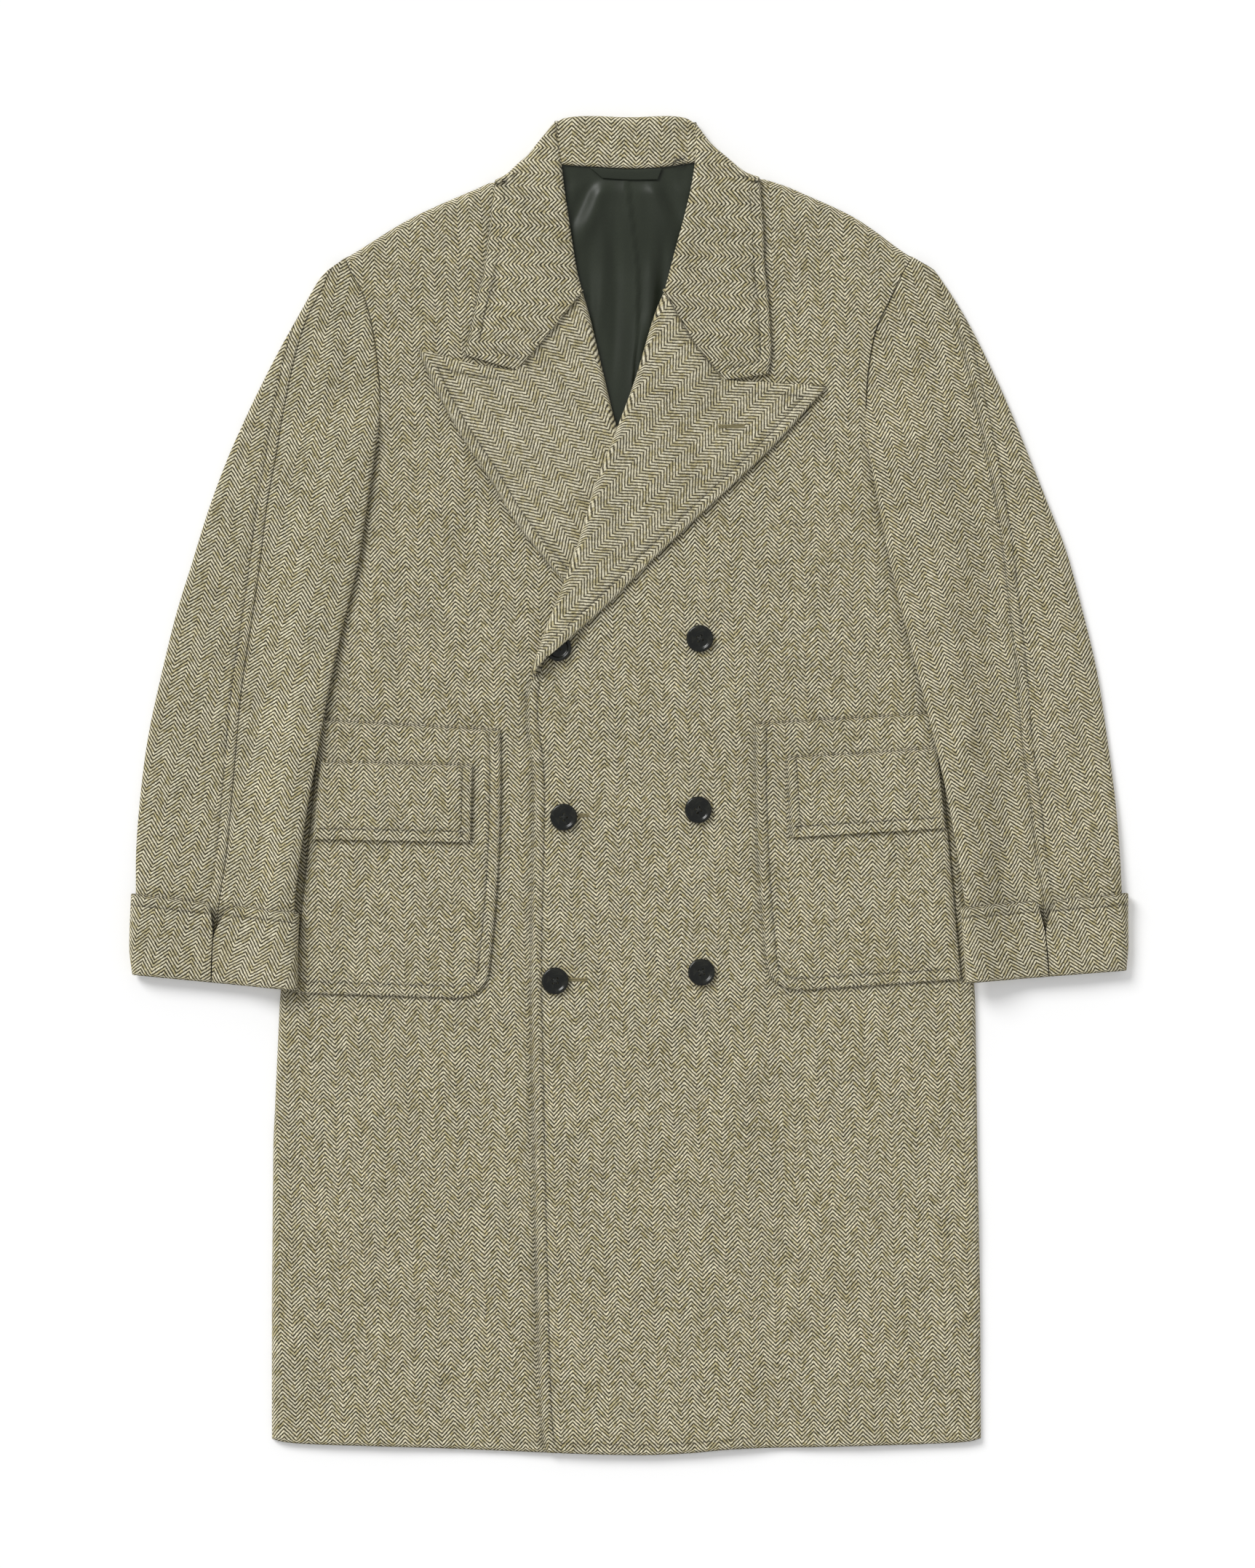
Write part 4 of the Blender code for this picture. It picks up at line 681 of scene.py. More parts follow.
def heights_on(name, x, y, otherwise, reach=2.0):
    """Greatest height of a piece near each point, or a given height beside it."""
    out = np.array(otherwise, float)
    flat = out.reshape(-1)
    for k, (px, py) in enumerate(zip(np.ravel(x), np.ravel(y))):
        found = [height_on(name, px + dx, py + dy, None)
                 for dx, dy in ((0, 0), (reach, 0), (-reach, 0), (0, reach), (0, -reach))]
        found = [z for z in found if z is not None]
        if found:
            flat[k] = max(found)
    return flat.reshape(out.shape)


def raised(plan, height):
    return np.dstack([plan[..., 0], plan[..., 1], height])


def eased(heights):
    """Heights taken from the cloth below, smoothed where it ends or steps."""
    soft = heights.copy()
    for _ in range(3):
        soft[1:-1] = (soft[:-2] + 2.0 * soft[1:-1] + soft[2:]) / 4.0
        soft[:, 1:-1] = (soft[:, :-2] + 2.0 * soft[:, 1:-1] + soft[:, 2:]) / 4.0
    return np.maximum(soft, heights - 0.3)


def bell(distance, width):
    """1 along a line, falling off smoothly to both sides."""
    return np.exp(-(distance / width) ** 2)


def groove(distance):
    """The depth that stitching pulls, as a share, by the distance from its line."""
    return bell(distance, 1.25)


def painted_contact_shade(lines, x, y):
    """Painted shade on cloth beside the edges of what lies on it."""
    shades = [bell(distance_to(line, x, y), 3.0) for line in lines]
    return PAINTED_CONTACT_SHADE * np.max([np.zeros(x.shape)] + shades, axis=0)


def cut_area(outer):
    """Area of a grid in square millimetres."""
    a, b = outer[1:, 1:] - outer[:-1, :-1], outer[1:, :-1] - outer[:-1, 1:]
    return 0.5 * np.linalg.norm(np.cross(a, b), axis=-1).sum()


def declare(node):
    """Attach a piece of cloth to the root and hide the solid it stands for; the size of its cut is worked
    out but not used.
    """
    ob, outer, uv = PIECES["cloth_" + node]
    width, length = np.ptp(uv[..., 0]) * MM, np.ptp(uv[..., 1]) * MM
    scale = cut_area(outer) / cut_area(raised(uv, np.zeros(uv.shape[:2])))
    width, length = width * math.sqrt(scale), length * math.sqrt(scale)
    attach(ob, "root")
    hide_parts(node)


def hem_y(x):
    rows = curve(HEM_ROWS)
    return np.interp(x, rows[:, 0], rows[:, 1])


def flank(own, inset=0.0):
    """The outer edge of a front or back: up the side, then up the armhole seam to below the tip."""
    side = own.side
    rows = own.sleeve
    levels = np.linspace(-602.5, 262.0, 44).tolist() + [280.0, 296.0]
    points = [(side_x(y, own) - side * inset * (2.0 if y > 250.0 else 1.0), y) for y in levels]
    seam = np.array([(r[2] - side * 0.1, r[3]) for r in rows[:ARMHOLE_ROWS]])[::-1]
    seam[-1] = seam[-2] + 0.62 * (seam[-1] - seam[-2])
    return np.vstack([points, curve(seam, 6)])


def build_back(tweed):
    right = flank(RIGHT, 4.6)
    left = flank(LEFT, 4.6)
    right_seam = np.array(RIGHT.shoulder) - (0.0, SHOULDER_ROUND)
    left_seam = np.array(LEFT.shoulder) - (0.0, SHOULDER_ROUND)
    right_seam[0], left_seam[0] = BACK_NECK_EDGE[0], BACK_NECK_EDGE[-1]
    right_seam[-1], left_seam[-1] = right[-1], left[-1]
    high = Line(np.vstack([curve(right_seam)[::-1], curve(BACK_NECK_EDGE)[1:-1], curve(left_seam)]), False)
    x = np.linspace(right[0, 0], left[0, 0], 60)
    low = Line(np.column_stack([x, hem_y(x) + 4.0]), False)
    right[0], left[0] = low.at(0.0), low.at(1.0)
    rows, cols = 134, 76
    v, u = np.meshgrid(np.linspace(0, 1, rows), np.linspace(0, 1, cols), indexing="ij")
    plan = coons(low, high, Line(right, False), Line(left, False), u, v)
    grid = raised(plan, back_top(plan[..., 0], plan[..., 1]))
    return shell("cloth_back", grid, BACK_WALL, grain_of(plan, GRAIN["body"]), tweed,
                 edges=(FOLDED, SEAM, SEAM, SEAM))


QUARTER = [(1.0 - math.cos(math.radians(a)), math.sin(math.radians(a))) for a in (90, 75, 60, 45, 30, 15, 0)]


def build_front(own, tweed):
    """A front from the hem to the shoulder; its side and shoulder turn down round the back."""
    side = own.side
    name = "cloth_front_" + own.name
    outer = flank(own)
    edge = curve(FRONT_EDGE_ROWS) if own.left else np.array([(UNDER_EDGE_X, -612.0), (UNDER_EDGE_X, 94.0)])
    roll = curve(own.roll)
    neck = curve(own.neck_edge[:4])
    folded = pushed(np.vstack([roll, neck[4:]]), -side * (LAPEL_ROUND + 5.0 * GAP))
    seam = np.array(own.shoulder) - (0.0, SHOULDER_ROUND)
    seam[-1] = outer[-1]
    inner = np.vstack([Line(edge, False).at(np.linspace(0, 1, 130)), folded[::6], [seam[0]]])
    stop = outer - (side * SIDE_ROUND, 0.0)
    seam_line = Line(seam)
    high = Line(seam_line.at(np.linspace(0.0, 0.985, 50)), False)
    stop[-1] = high.at(1.0)
    inner[0, 1] = hem_y(inner[0, 0])
    x = np.linspace(inner[0, 0], stop[0, 0], 60)
    low = Line(np.column_stack([x, hem_y(x)]), False)
    stop[0] = low.at(1.0)
    first, last = Line(inner, False), Line(stop, False)
    outer_line = Line(outer, False)
    rows = 200
    v = np.concatenate([[0.0, 0.0026, 0.005, 0.0074, 0.0098, 0.013], np.linspace(0.018, 1.0, rows)])
    start = [0.0, 3.5, 6.5, 8.8, 10.0, 11.2, 12.4, 14.5] if own.left else [0.0, 3.5]
    u = np.array([shares(w, start, [0.0], 5.6, 72) for w in
                  np.hypot(*(last.at(v) - first.at(v)).T)])
    vv = np.repeat(v[:, None], u.shape[1], axis=1)
    plan = coons(low, high, first, last, u, vv)
    z = front_top(plan[..., 0], plan[..., 1], own.left)
    quiet = step((np.abs(plan[..., 0] - first.at(v)[:, :1])) / 25.0)
    z = z + ripple(plan[..., 0], plan[..., 1], 0.0 if own.left else 1.7) * quiet
    z = z + folds(FRONT_FOLDS, plan[..., 0], plan[..., 1]) * quiet
    if own.left:
        from_edge = distance_to(edge[::6], plan[..., 0], plan[..., 1])
        z = z - GROOVE_DEPTH * groove(from_edge - STITCH_INSET)
        z = z - 0.5 * bell(from_edge, 3.0)
    hem_line = plan[..., 1] - hem_y(plan[..., 0])
    patch = own.pocket
    top_edge = np.array([patch["top_in"], patch["top_out"]])
    # painted shade on the front beside the edges of the lapel, leaf, pocket and sleeve, and in the stitching
    # grooves
    crease = painted_contact_shade([curve(own.lapel_edge, 6), curve(own.lapel_top, 6), curve(own.leaf_edge, 6),
                      patch_edge(patch, side, 0.0)[::6], top_edge], plan[..., 0], plan[..., 1])
    from_sleeve = distance_to(curve(np.array(own.sleeve)[2:, 2:4], 6), plan[..., 0], plan[..., 1])
    crease = np.maximum(crease, PAINTED_SLEEVE_SHADE * bell(from_sleeve, PAINTED_SLEEVE_SHADE_WIDTH))
    if own.left:
        crease = np.maximum(crease, PAINTED_GROOVE_SHADE * bell(from_edge - STITCH_INSET, PAINTED_SHADE_WIDTH))
    else:
        # painted shade on the right front beside the edge of the left front that covers it
        covered = distance_to(curve(FRONT_EDGE_ROWS, 6), plan[..., 0], plan[..., 1])
        crease = np.maximum(crease, 0.55 * bell(covered, 2.6))
    pressed = step((plan[..., 0] + 108.0) / 10.0) * (1.0 - step((plan[..., 0] - 60.0) / 60.0))
    z = z - 0.8 * groove(hem_line - HEM_STITCH_INSET) * pressed
    # painted shade in the hem's stitching groove
    crease = np.maximum(crease, PAINTED_GROOVE_SHADE * bell(hem_line - HEM_STITCH_INSET, PAINTED_SHADE_WIDTH) * pressed)
    outer_at, stop_at = outer_line.at(v), last.at(v)
    # the turned side keeps level with the rows
    outer_at[:, 1] = stop_at[:, 1] + (outer_at[:, 1] - stop_at[:, 1]) * step((v - 0.55) / 0.1)
    outer_at[:, 0] = np.where(v < 0.6, side_x(stop_at[:, 1], own), outer_at[:, 0])
    floor = back_underside(stop_at[:, 0], stop_at[:, 1]) + 1.2
    turned_plan, turned_z = [], []
    below_armhole = step((296.0 - stop_at[:, 1]) / 12.0)
    for back_share, level in QUARTER[1:]:
        at = stop_at + (outer_at - stop_at) * (1.0 - back_share)
        bent = floor + (z[:, -1] - floor) * level
        turned_plan.append(at)
        turned_z.append(z[:, -1] + (bent - z[:, -1]) * below_armhole)
    turned = np.dstack([np.stack(turned_plan, 1), np.stack(turned_z, 1)])
    grid = np.concatenate([raised(plan, z), turned], axis=1)
    grid[0, :, 1] = hem_y(grid[0, :, 0])
    flat = unrolled(grid, 0, u.shape[1] - 1)
    crease = np.pad(crease, ((0, len(QUARTER) - 1), (0, len(QUARTER) - 1)))
    rest = floor[-1]
    shoulder, shoulder_flat = [], []
    # at the tip the turned shoulder goes on along the armhole seam
    lean = (outer[-1, 0] - outer[-2, 0]) / (outer[-1, 1] - outer[-2, 1])
    near_tip = np.linspace(0.0, 1.0, grid.shape[1]) ** 12
    for back_share, level in QUARTER[1:]:
        row = grid[-1].copy()
        row[:, 0] += lean * SHOULDER_ROUND * (1.0 - back_share) * near_tip
        row[:, 1] += SHOULDER_ROUND * (1.0 - back_share)
        row[:, 2] = rest + (row[:, 2] - rest) * level
        shoulder.append(row)
        shoulder_flat.append(flat[-1] + (0.0, 1.6 * SHOULDER_ROUND * (1.0 - back_share)))
    grid = np.concatenate([grid, np.array(shoulder)])
    flat = np.concatenate([flat, np.array(shoulder_flat)])
    return shell(name, grid, FRONT_WALL, grain_of(flat, GRAIN["body"]), tweed, up=(rows // 2, 30),
                 edges=(FOLDED, SEAM, FOLDED, SEAM), crease=crease)


ROLL_ANGLES = np.radians(np.linspace(-90.0, 90.0, 13))


def lapel_lines(own):
    roll = Line(own.roll)
    edge = Line(own.lapel_edge)
    gorge = curve(own.gorge)
    top = curve(own.lapel_top)
    return roll, edge, gorge, top


def button_lift(x, y):
    """The lapel rides over the button beside its break."""
    _, bx, by = BUTTONS[1]
    return (BUTTON_HEIGHT + 1.5 * GAP) * (1.0 - step((np.hypot(x - bx, y - by) - 15.0) / 17.0))


def build_lapel(own, tweed):
    """A lapel folded back along its roll line; the round of the roll reaches down to the front."""
    side = own.side
    name = "cloth_lapel_" + own.name
    front = "cloth_front_" + own.name
    roll, edge, gorge, top = lapel_lines(own)
    toward = unit(gorge[1] - gorge[0])
    start = gorge[0] + 1.24 * LAPEL_ROUND * toward
    keep = gorge[np.hypot(*(gorge - gorge[0]).T) > 1.24 * LAPEL_ROUND + 1.0]
    high = Line(np.vstack([[start], keep, top[1:]]), False)
    inner = pushed(roll.points, -side * LAPEL_ROUND)
    inner[-1] = start
    first = Line(inner, False)
    outer = edge.points.copy()
    outer[-1] = high.at(1.0)
    last = Line(outer, False)
    low = Line([first.at(0.0), last.at(0.0)], False)
    length = roll.length
    v = shares(length, [0.0, 2.5, 5.0], [0.0, 3.0, 6.0, 8.5, 10.0, 11.5, 13.5], 4.2)
    widths = np.hypot(*(last.at(v) - first.at(v)).T)
    u = np.array([shares(w, [0.0, 2.0, 4.0], STITCHED_EDGE, 4.0, 46) for w in widths])
    vv = np.repeat(v[:, None], u.shape[1], axis=1)
    plan = coons(low, high, first, last, u, vv)
    x, y = plan[..., 0], plan[..., 1]
    from_roll = distance_to(roll.points[::4], x, y)
    from_edge = np.minimum(distance_to(edge.points[::4], x, y), distance_to(top[::4], x, y))
    base = eased(heights_on(front, x, y, front_top(x, y, own.left)))
    loft = ROLL_LOFT * (0.5 + step(from_edge / 45.0)) + 1.1 * bell(from_roll, 22.0)
    z = base + GAP + loft + LAPEL_WALL
    if own.left:
        z = z + button_lift(x, y)
    wide_enough = step((widths[:, None] - 24.0) / 16.0)
    z = z - GROOVE_DEPTH * groove(from_edge - STITCH_INSET) * wide_enough
    z = z - EDGE_DROP * bell(from_edge, 4.0) + 0.25 * ripple(1.9 * x, 1.9 * y, 3.0 + side)
    leaf_low = np.array([gorge[-1], own.leaf_edge[0]])
    # painted shade beside the leaf's lower edge and in the stitching groove
    crease = np.maximum(painted_contact_shade([leaf_low], x, y),
                        PAINTED_GROOVE_SHADE * bell(from_edge - STITCH_INSET, PAINTED_SHADE_WIDTH) * wide_enough)
    z_top = z[:, 0]
    roll_at, inner_at = roll.at(v), first.at(v)
    z_low = front_underside(roll_at[:, 0], roll_at[:, 1], own.left)
    fold = []
    for angle in ROLL_ANGLES[:-1]:
        at = roll_at + (inner_at - roll_at) * (1.0 - math.cos(angle))
        height = (z_top + z_low) / 2 + (z_top - z_low) / 2 * math.sin(angle)
        fold.append(np.column_stack([at, height]))
    grid = np.concatenate([np.stack(fold, axis=1), raised(plan, z)], axis=1)
    flat = unrolled(grid, len(fold), grid.shape[1] - 1)
    crease = np.pad(crease, ((0, 0), (len(fold), 0)))
    angle = GRAIN["lapel_" + own.name]
    return shell(name, grid, LAPEL_WALL, grain_of(flat, angle, COLLAR_SCALE), tweed,
                 up=(grid.shape[0] // 2, len(fold) + 20), edges=(SEAM, SEAM, SEAM, FOLDED), crease=crease)


def leaf_side(own, rows, cols):
    """The part of the leaf that lies on a front, from its lower edge up to the fold over the shoulder."""
    side = own.side
    front = "cloth_front_" + own.name
    neck = curve(own.neck_edge)
    edge = curve(own.leaf_edge)
    gorge = pushed(curve(own.gorge), side * 0.8 * GAP)
    gorge[0] = neck[0]
    low = Line(np.vstack([gorge, [edge[0]]]), False)
    fold = Line(own.leaf_fold)
    u = shares(low.length, [0.0, 0.25, 0.7, 1.4, 2.3, 3.4, 4.8, 7.0], STITCHED_EDGE, 4.0, cols)
    dense = np.linspace(0.0, 1.0, 60)
    # the fold is tight at the corner beside the stand and opens toward the shoulder
    tight = (0.22 + 0.78 * step(dense / 0.36))[:, None]
    offset = (pushed(fold.at(dense), -side * LEAF_FOLD_ROUND) - fold.at(dense)) * tight
    down_edge = unit(edge[-12] - edge[-1]) * 0.6 * LEAF_FOLD_ROUND
    turned = step((dense - 0.55) / 0.45)[:, None]
    high = Line(fold.at(dense) + offset * (1.0 - turned) + down_edge * turned, False)
    neck[-1], edge[-1] = high.at(0.0), high.at(1.0)
    v = shares(200.0, STITCHED_EDGE, [0.0], 4.2, rows)
    uu, vv = np.meshgrid(u, v)
    plan = coons(low, high, Line(neck, False), Line(edge, False), uu, vv)
    x, y = plan[..., 0], plan[..., 1]
    plain = front_top(x, y, own.left)
    base = eased(np.maximum(heights_on(front, x, y, plain), plain - 0.5))
    free = np.vstack([[gorge[-1]], edge])
    from_edge = distance_to(free[::3], x, y)
    from_neck = distance_to(neck[::3], x, y)
    loft = ROLL_LOFT * (0.5 + step(from_edge / 40.0)) + 0.9 * bell(from_neck, 16.0)
    z = base + GAP + loft + COLLAR_WALL
    z = z - (z - CORNER_HEIGHT) * step((y - 556.0) / 44.0)
    z = z - GROOVE_DEPTH * groove(from_edge - STITCH_INSET) - EDGE_DROP * bell(from_edge, 4.0)
    z = z - NECK_ROUND * (1.0 - np.sqrt(1.0 - (1.0 - clip01(from_neck / NECK_ROUND)) ** 2))
    # painted shade in the stitching groove
    crease = PAINTED_GROOVE_SHADE * bell(from_edge - STITCH_INSET, PAINTED_SHADE_WIDTH)
    grid = raised(plan, z)
    flat = plan.copy()
    z_top, high_at, fold_at = grid[-1][:, 2], high.at(u), fold.at(u)
    toward = unit(fold_at - high_at)
    run = np.zeros(len(u))
    before = grid[-1]
    bend, bend_flat = [], []
    for angle in ROLL_ANGLES[::-1][1:]:
        at = fold_at + (high_at - fold_at) * (1.0 - math.cos(angle))
        row = np.column_stack([at, z_top / 2 + z_top / 2 * math.sin(angle)])
        run = run + np.linalg.norm(row - before, axis=1)
        before = row
        bend.append(row)
        bend_flat.append(high_at + toward * run[:, None])
    crease = np.pad(crease, ((0, len(bend)), (0, 0)))
    return np.concatenate([grid, np.array(bend)]), np.concatenate([flat, np.array(bend_flat)]), crease


def build_leaf(tweed):
    """The leaf: down one front, under the back of the neck and up the other front, in one piece."""
    rows, cols = 38, 14
    right, right_flat, right_painted_shade = leaf_side(RIGHT, rows, cols)
    left, left_flat, left_painted_shade = leaf_side(LEFT, rows, cols)
    left, left_flat, left_painted_shade = left[::-1], left_flat[::-1], left_painted_shade[::-1]
    start, end = right[-1], left[0]
    count = 48
    t = np.linspace(0.0, 1.0, count)
    top_y = np.interp(t, [0.0, 0.12, 0.88, 1.0],
                      [start[0, 1], LEAF_BACK_TOP - 1.0, LEAF_BACK_TOP - 1.0, end[0, 1]])
    top = Line(np.column_stack([start[0, 0] + (end[0, 0] - start[0, 0]) * t, top_y]), False)
    edge = curve(LEAF_BACK_EDGE)
    edge[0], edge[-1] = start[-1, :2], end[-1, :2]
    u, v = np.meshgrid(np.linspace(0, 1, start.shape[0]), t)
    plan = coons(Line(start[:, :2], False), Line(end[:, :2], False), top, Line(edge, False), u, v)
    middle = raised(plan, np.zeros(plan.shape[:2]))[1:-1]
    grid = np.concatenate([right, middle, left])
    turn = len(right)
    uv = np.concatenate([grain_of(right_flat, GRAIN["leaf"], COLLAR_SCALE),
                         grain_of(plan[1:-1], 0.0, COLLAR_SCALE),
                         grain_of(left_flat, GRAIN["leaf"], COLLAR_SCALE)])
    # behind the neck the cloth turns with the collar: its coordinates run on from both sides
    begin, finish = uv[turn - 1], uv[turn + count - 2]
    for k in range(1, count - 1):
        share = k / (count - 1)
        uv[turn + k - 1] = begin * (1 - share) + finish * share
    # painted shade of both sides; none behind the neck
    crease = np.concatenate([right_painted_shade, np.zeros(middle.shape[:2]), left_painted_shade])
    return shell("cloth_collar_leaf", grid, COLLAR_WALL, uv, tweed, up=(10, 12),
                 edges=(SEAM, SEAM, SEAM, FOLDED), crease=crease)


def build_stand(tweed):
    """The stand as it shows inside the back of the neck, folded over at the top of the collar."""
    count = 44
    share = np.linspace(0.0, 1.0, count)
    roll, low = Line(STAND_TOP_EDGE).at(share), Line(STAND_LOWER_EDGE).at(share)
    inner = roll - (0.0, STAND_ROUND)
    z_low, z_fold = 0.2, 9.3 - 2.6 * step((np.abs(roll[:, 0] + 2.5) - 45.0) / 14.0)
    z_seam = COLLAR_WALL + GAP + BACK_WALL + GAP + LINING_WALL + GAP + COLLAR_WALL
    rows = []
    for angle in ROLL_ANGLES:
        at = roll + (inner - roll) * (1.0 - math.cos(angle))
        z = np.full(count, (z_fold + z_low) / 2 + (z_fold - z_low) / 2 * math.sin(angle))
        rows.append(np.column_stack([at, z]))
    for t in np.linspace(0.0, 1.0, 13)[1:]:
        at = (1 - t) * inner + t * low
        hollow = 0.5 * math.sin(math.pi * t)
        rows.append(np.column_stack([at, np.full(count, z_fold + (z_seam - z_fold) * step(t) - hollow)]))
    grid = np.stack(rows, axis=1)
    flat = unrolled(grid, len(ROLL_ANGLES) - 1, grid.shape[1] - 1)
    return shell("cloth_collar_stand", grid, COLLAR_WALL, grain_of(flat, 0.5, COLLAR_SCALE), tweed,
                 up=(count // 2, grid.shape[1] - 4), edges=(SEAM, SEAM, SEAM, FOLDED))


# Folds in the lining: from x, y, to x, y, half width, height
LINING_FOLDS = [(-24, 580, -62, 500, 6.5, -1.5), (-14, 580, -48, 486, 7, 1.3), (22, 580, 56, 505, 6, -1.4),
                (12, 580, 42, 492, 6.5, 1.2), (-22, 540, -26, 400, 6, 0.8), (-38, 520, -34, 390, 6, -0.8),
                (-10, 540, -14, 350, 5, -0.6), (22, 500, 18, 400, 5, 1), (34, 520, 29, 420, 5, -0.9),
                (14, 440, 6, 350, 5, 0.8)]


def build_lining(satin):
    """The back lining inside the neck, with the pleat down its centre and soft folds."""
    rows, cols = 88, 56
    v, u = np.meshgrid(np.linspace(0, 1, rows), np.linspace(0, 1, cols), indexing="ij")
    right, left = Line(RIGHT.lining).at(v), Line(LEFT.lining).at(v)
    plan = (1 - u[..., None]) * right + u[..., None] * left
    x, y = plan[..., 0], plan[..., 1]
    pleat = np.array(PLEAT_ROWS)[::-1]
    from_pleat = x - np.interp(y, pleat[:, 1], pleat[:, 0])
    # cloth on the pleat's left lies over the right: a step down with a soft shoulder
    lip = 2.2 * np.exp(-np.maximum(-from_pleat, 0.0) / 14.0) * (1.0 - step((from_pleat + 0.6) / 1.6))
    open_part = step(np.minimum(u, 1.0 - u) / 0.2)
    below_tab = step((560.0 - y) / 16.0)
    z = lining_top(x, y) + 1.0 + 2.0 * open_part * below_tab
    z = z + (lip * step((562.0 - y) / 12.0) + 2.3 * folds(LINING_FOLDS, x, y) * below_tab) * open_part
    z = np.maximum(z, lining_top(x, y) + 0.15)
    return shell("cloth_back_lining", raised(plan, z), LINING_WALL, grain_of(plan, 0.0), satin,
                 edges=(SEAM,) * 4)


def build_neck_tab(satin):
    rows, cols = 9, 48
    v, u = np.meshgrid(np.linspace(0, 1, rows), np.linspace(0, 1, cols), indexing="ij")
    low, high = Line(NECK_TAB_LOW).at(u), Line(NECK_TAB_TOP).at(u)
    plan = (1 - v[..., None]) * low + v[..., None] * high
    z = heights_on("cloth_back_lining", plan[..., 0], plan[..., 1], lining_top(plan[..., 0], plan[..., 1]))
    z = z.max() + GAP + NECK_TAB_WALL - 0.25 * np.abs(2 * v - 1) ** 3
    return shell("cloth_neck_tab", raised(plan, z), NECK_TAB_WALL, grain_of(plan, 90.0), satin,
                 edges=(THIN,) * 4)


def patch_row(sizes, side, t):
    """The inner and outer ends of a row of a patch at share t down it, its free lower corner rounded."""
    top_in, top_out = np.array(sizes["top_in"]), np.array(sizes["top_out"])
    low_in, low_out = np.array(sizes["low_in"]), np.array(sizes["low_out"])
    inner = (1 - t) * top_in + t * low_in
    inner[0] -= side * sizes["bow"] * 4.0 * t * (1.0 - t)
    rest = (top_in[1] - low_in[1]) * (1.0 - t)
    corner = sizes["corner"]
    if rest < corner:
        inner[0] += side * (corner - math.sqrt(corner ** 2 - (corner - rest) ** 2))
    return inner, (1 - t) * top_out + t * low_out


def patch_edge(sizes, side, inset, start=0.0):
    """A line round a patch inside its free edges: down the inner side, round the corner, out below."""
    ts = np.concatenate([np.linspace(start, 0.88, 20), np.linspace(0.885, 1.0, 30)])
    inner = np.array([patch_row(sizes, side, t)[0] for t in ts])
    low_in, low_out = inner[-1], np.array(sizes["low_out"])
    across = np.linspace(0.0, 0.97, 30)[1:, None]
    path = np.vstack([inner, low_in + (low_out - low_in) * across])
    line = Line(path, False)
    dense = line.at(np.linspace(0.0, 1.0, 240))
    smooth = dense.copy()
    for _ in range(3):
        smooth[1:-1] = (smooth[:-2] + smooth[1:-1] + smooth[2:]) / 3.0
    return pushed(smooth, side * inset)


def build_patch(node, own, sizes, under, wall, tweed, foot, line, shaded_by):
    """A pocket laid on its front or a flap laid on its pocket, row by row from the top edge."""
    length = sizes["top_in"][1] - sizes["low_in"][1]
    v = shares(length, [0.0, 3.0], foot, 4.6)
    corner_rows = np.linspace(1.0 - sizes["corner"] / length, 1.0, 14)
    v = np.unique(np.round(np.concatenate([v[v < corner_rows[0] - 0.004], corner_rows]), 6))
    plan = []
    for t in v:
        inner, outer = patch_row(sizes, own.side, t)
        across = shares(np.hypot(*(outer - inner)), PATCH_EDGE, [0.0], 5.0, 30)
        plan.append((1 - across[:, None]) * inner + across[:, None] * outer)
    plan = np.array(plan)
    x, y = plan[..., 0], plan[..., 1]
    z = heights_on(under, x, y, front_top(x, y, own.left)) + GAP + 0.35 + wall
    from_line = distance_to(line[::4], x, y)
    from_edge = distance_to(patch_edge(sizes, own.side, 0.0)[::4], x, y)
    z = z - groove(from_line) - EDGE_DROP * bell(from_edge, 4.0)
    from_sleeve = distance_to(curve(np.array(own.sleeve)[8:, 2:4], 6), x, y)
    # painted shade beside the edges of what lies on the patch, beside the sleeve and in its stitching groove
    crease = np.maximum(painted_contact_shade(shaded_by, x, y), PAINTED_SLEEVE_SHADE * bell(from_sleeve, PAINTED_SLEEVE_SHADE_WIDTH))
    crease = np.maximum(crease, PAINTED_GROOVE_SHADE * bell(from_line, PAINTED_SHADE_WIDTH))
    return shell("cloth_" + node, raised(plan, z), wall, grain_of(plan, GRAIN["body"]), tweed, crease=crease)


def tube_points(row, inward, seam, hidden, rest, height, round_width, top_mm, count):
    """Points round one half of a flattened tube, from the seam on top round an end to the underside."""
    outer, inner = np.array(row[:2]), np.array(row[2:4])
    width = math.hypot(*(inner - outer))
    r = min(round_width, 0.2 * width) / width
    end = 1.0 - r if inward else r
    way = 1.0 if inward else -1.0
    span = abs(end - seam) * width
    top = seam + (end - seam) * shares(max(span, 1.0), top_mm, [0.0], 5.0, count)[:-1]
    bend = ROLL_ANGLES[::-1]
    share = [(t, 1.0) for t in top]
    share += [(end + way * r * math.cos(a), math.sin(a)) for a in bend]
    share += [(t, -1.0) for t in np.linspace(end, hidden, 10)[1:]]
    t = np.array([s[0] for s in share])
    level = np.array([s[1] for s in share])
    p = outer + (inner - outer) * t[:, None]
    crown = 1.0 - 0.10 * (2.0 * clip01(t) - 1.0) ** 2
    z = rest(p[:, 0], p[:, 1]) + height / 2 * (1.0 + level * np.where(level > 0, crown, 1.0))
    return np.column_stack([p, z]), len(top)


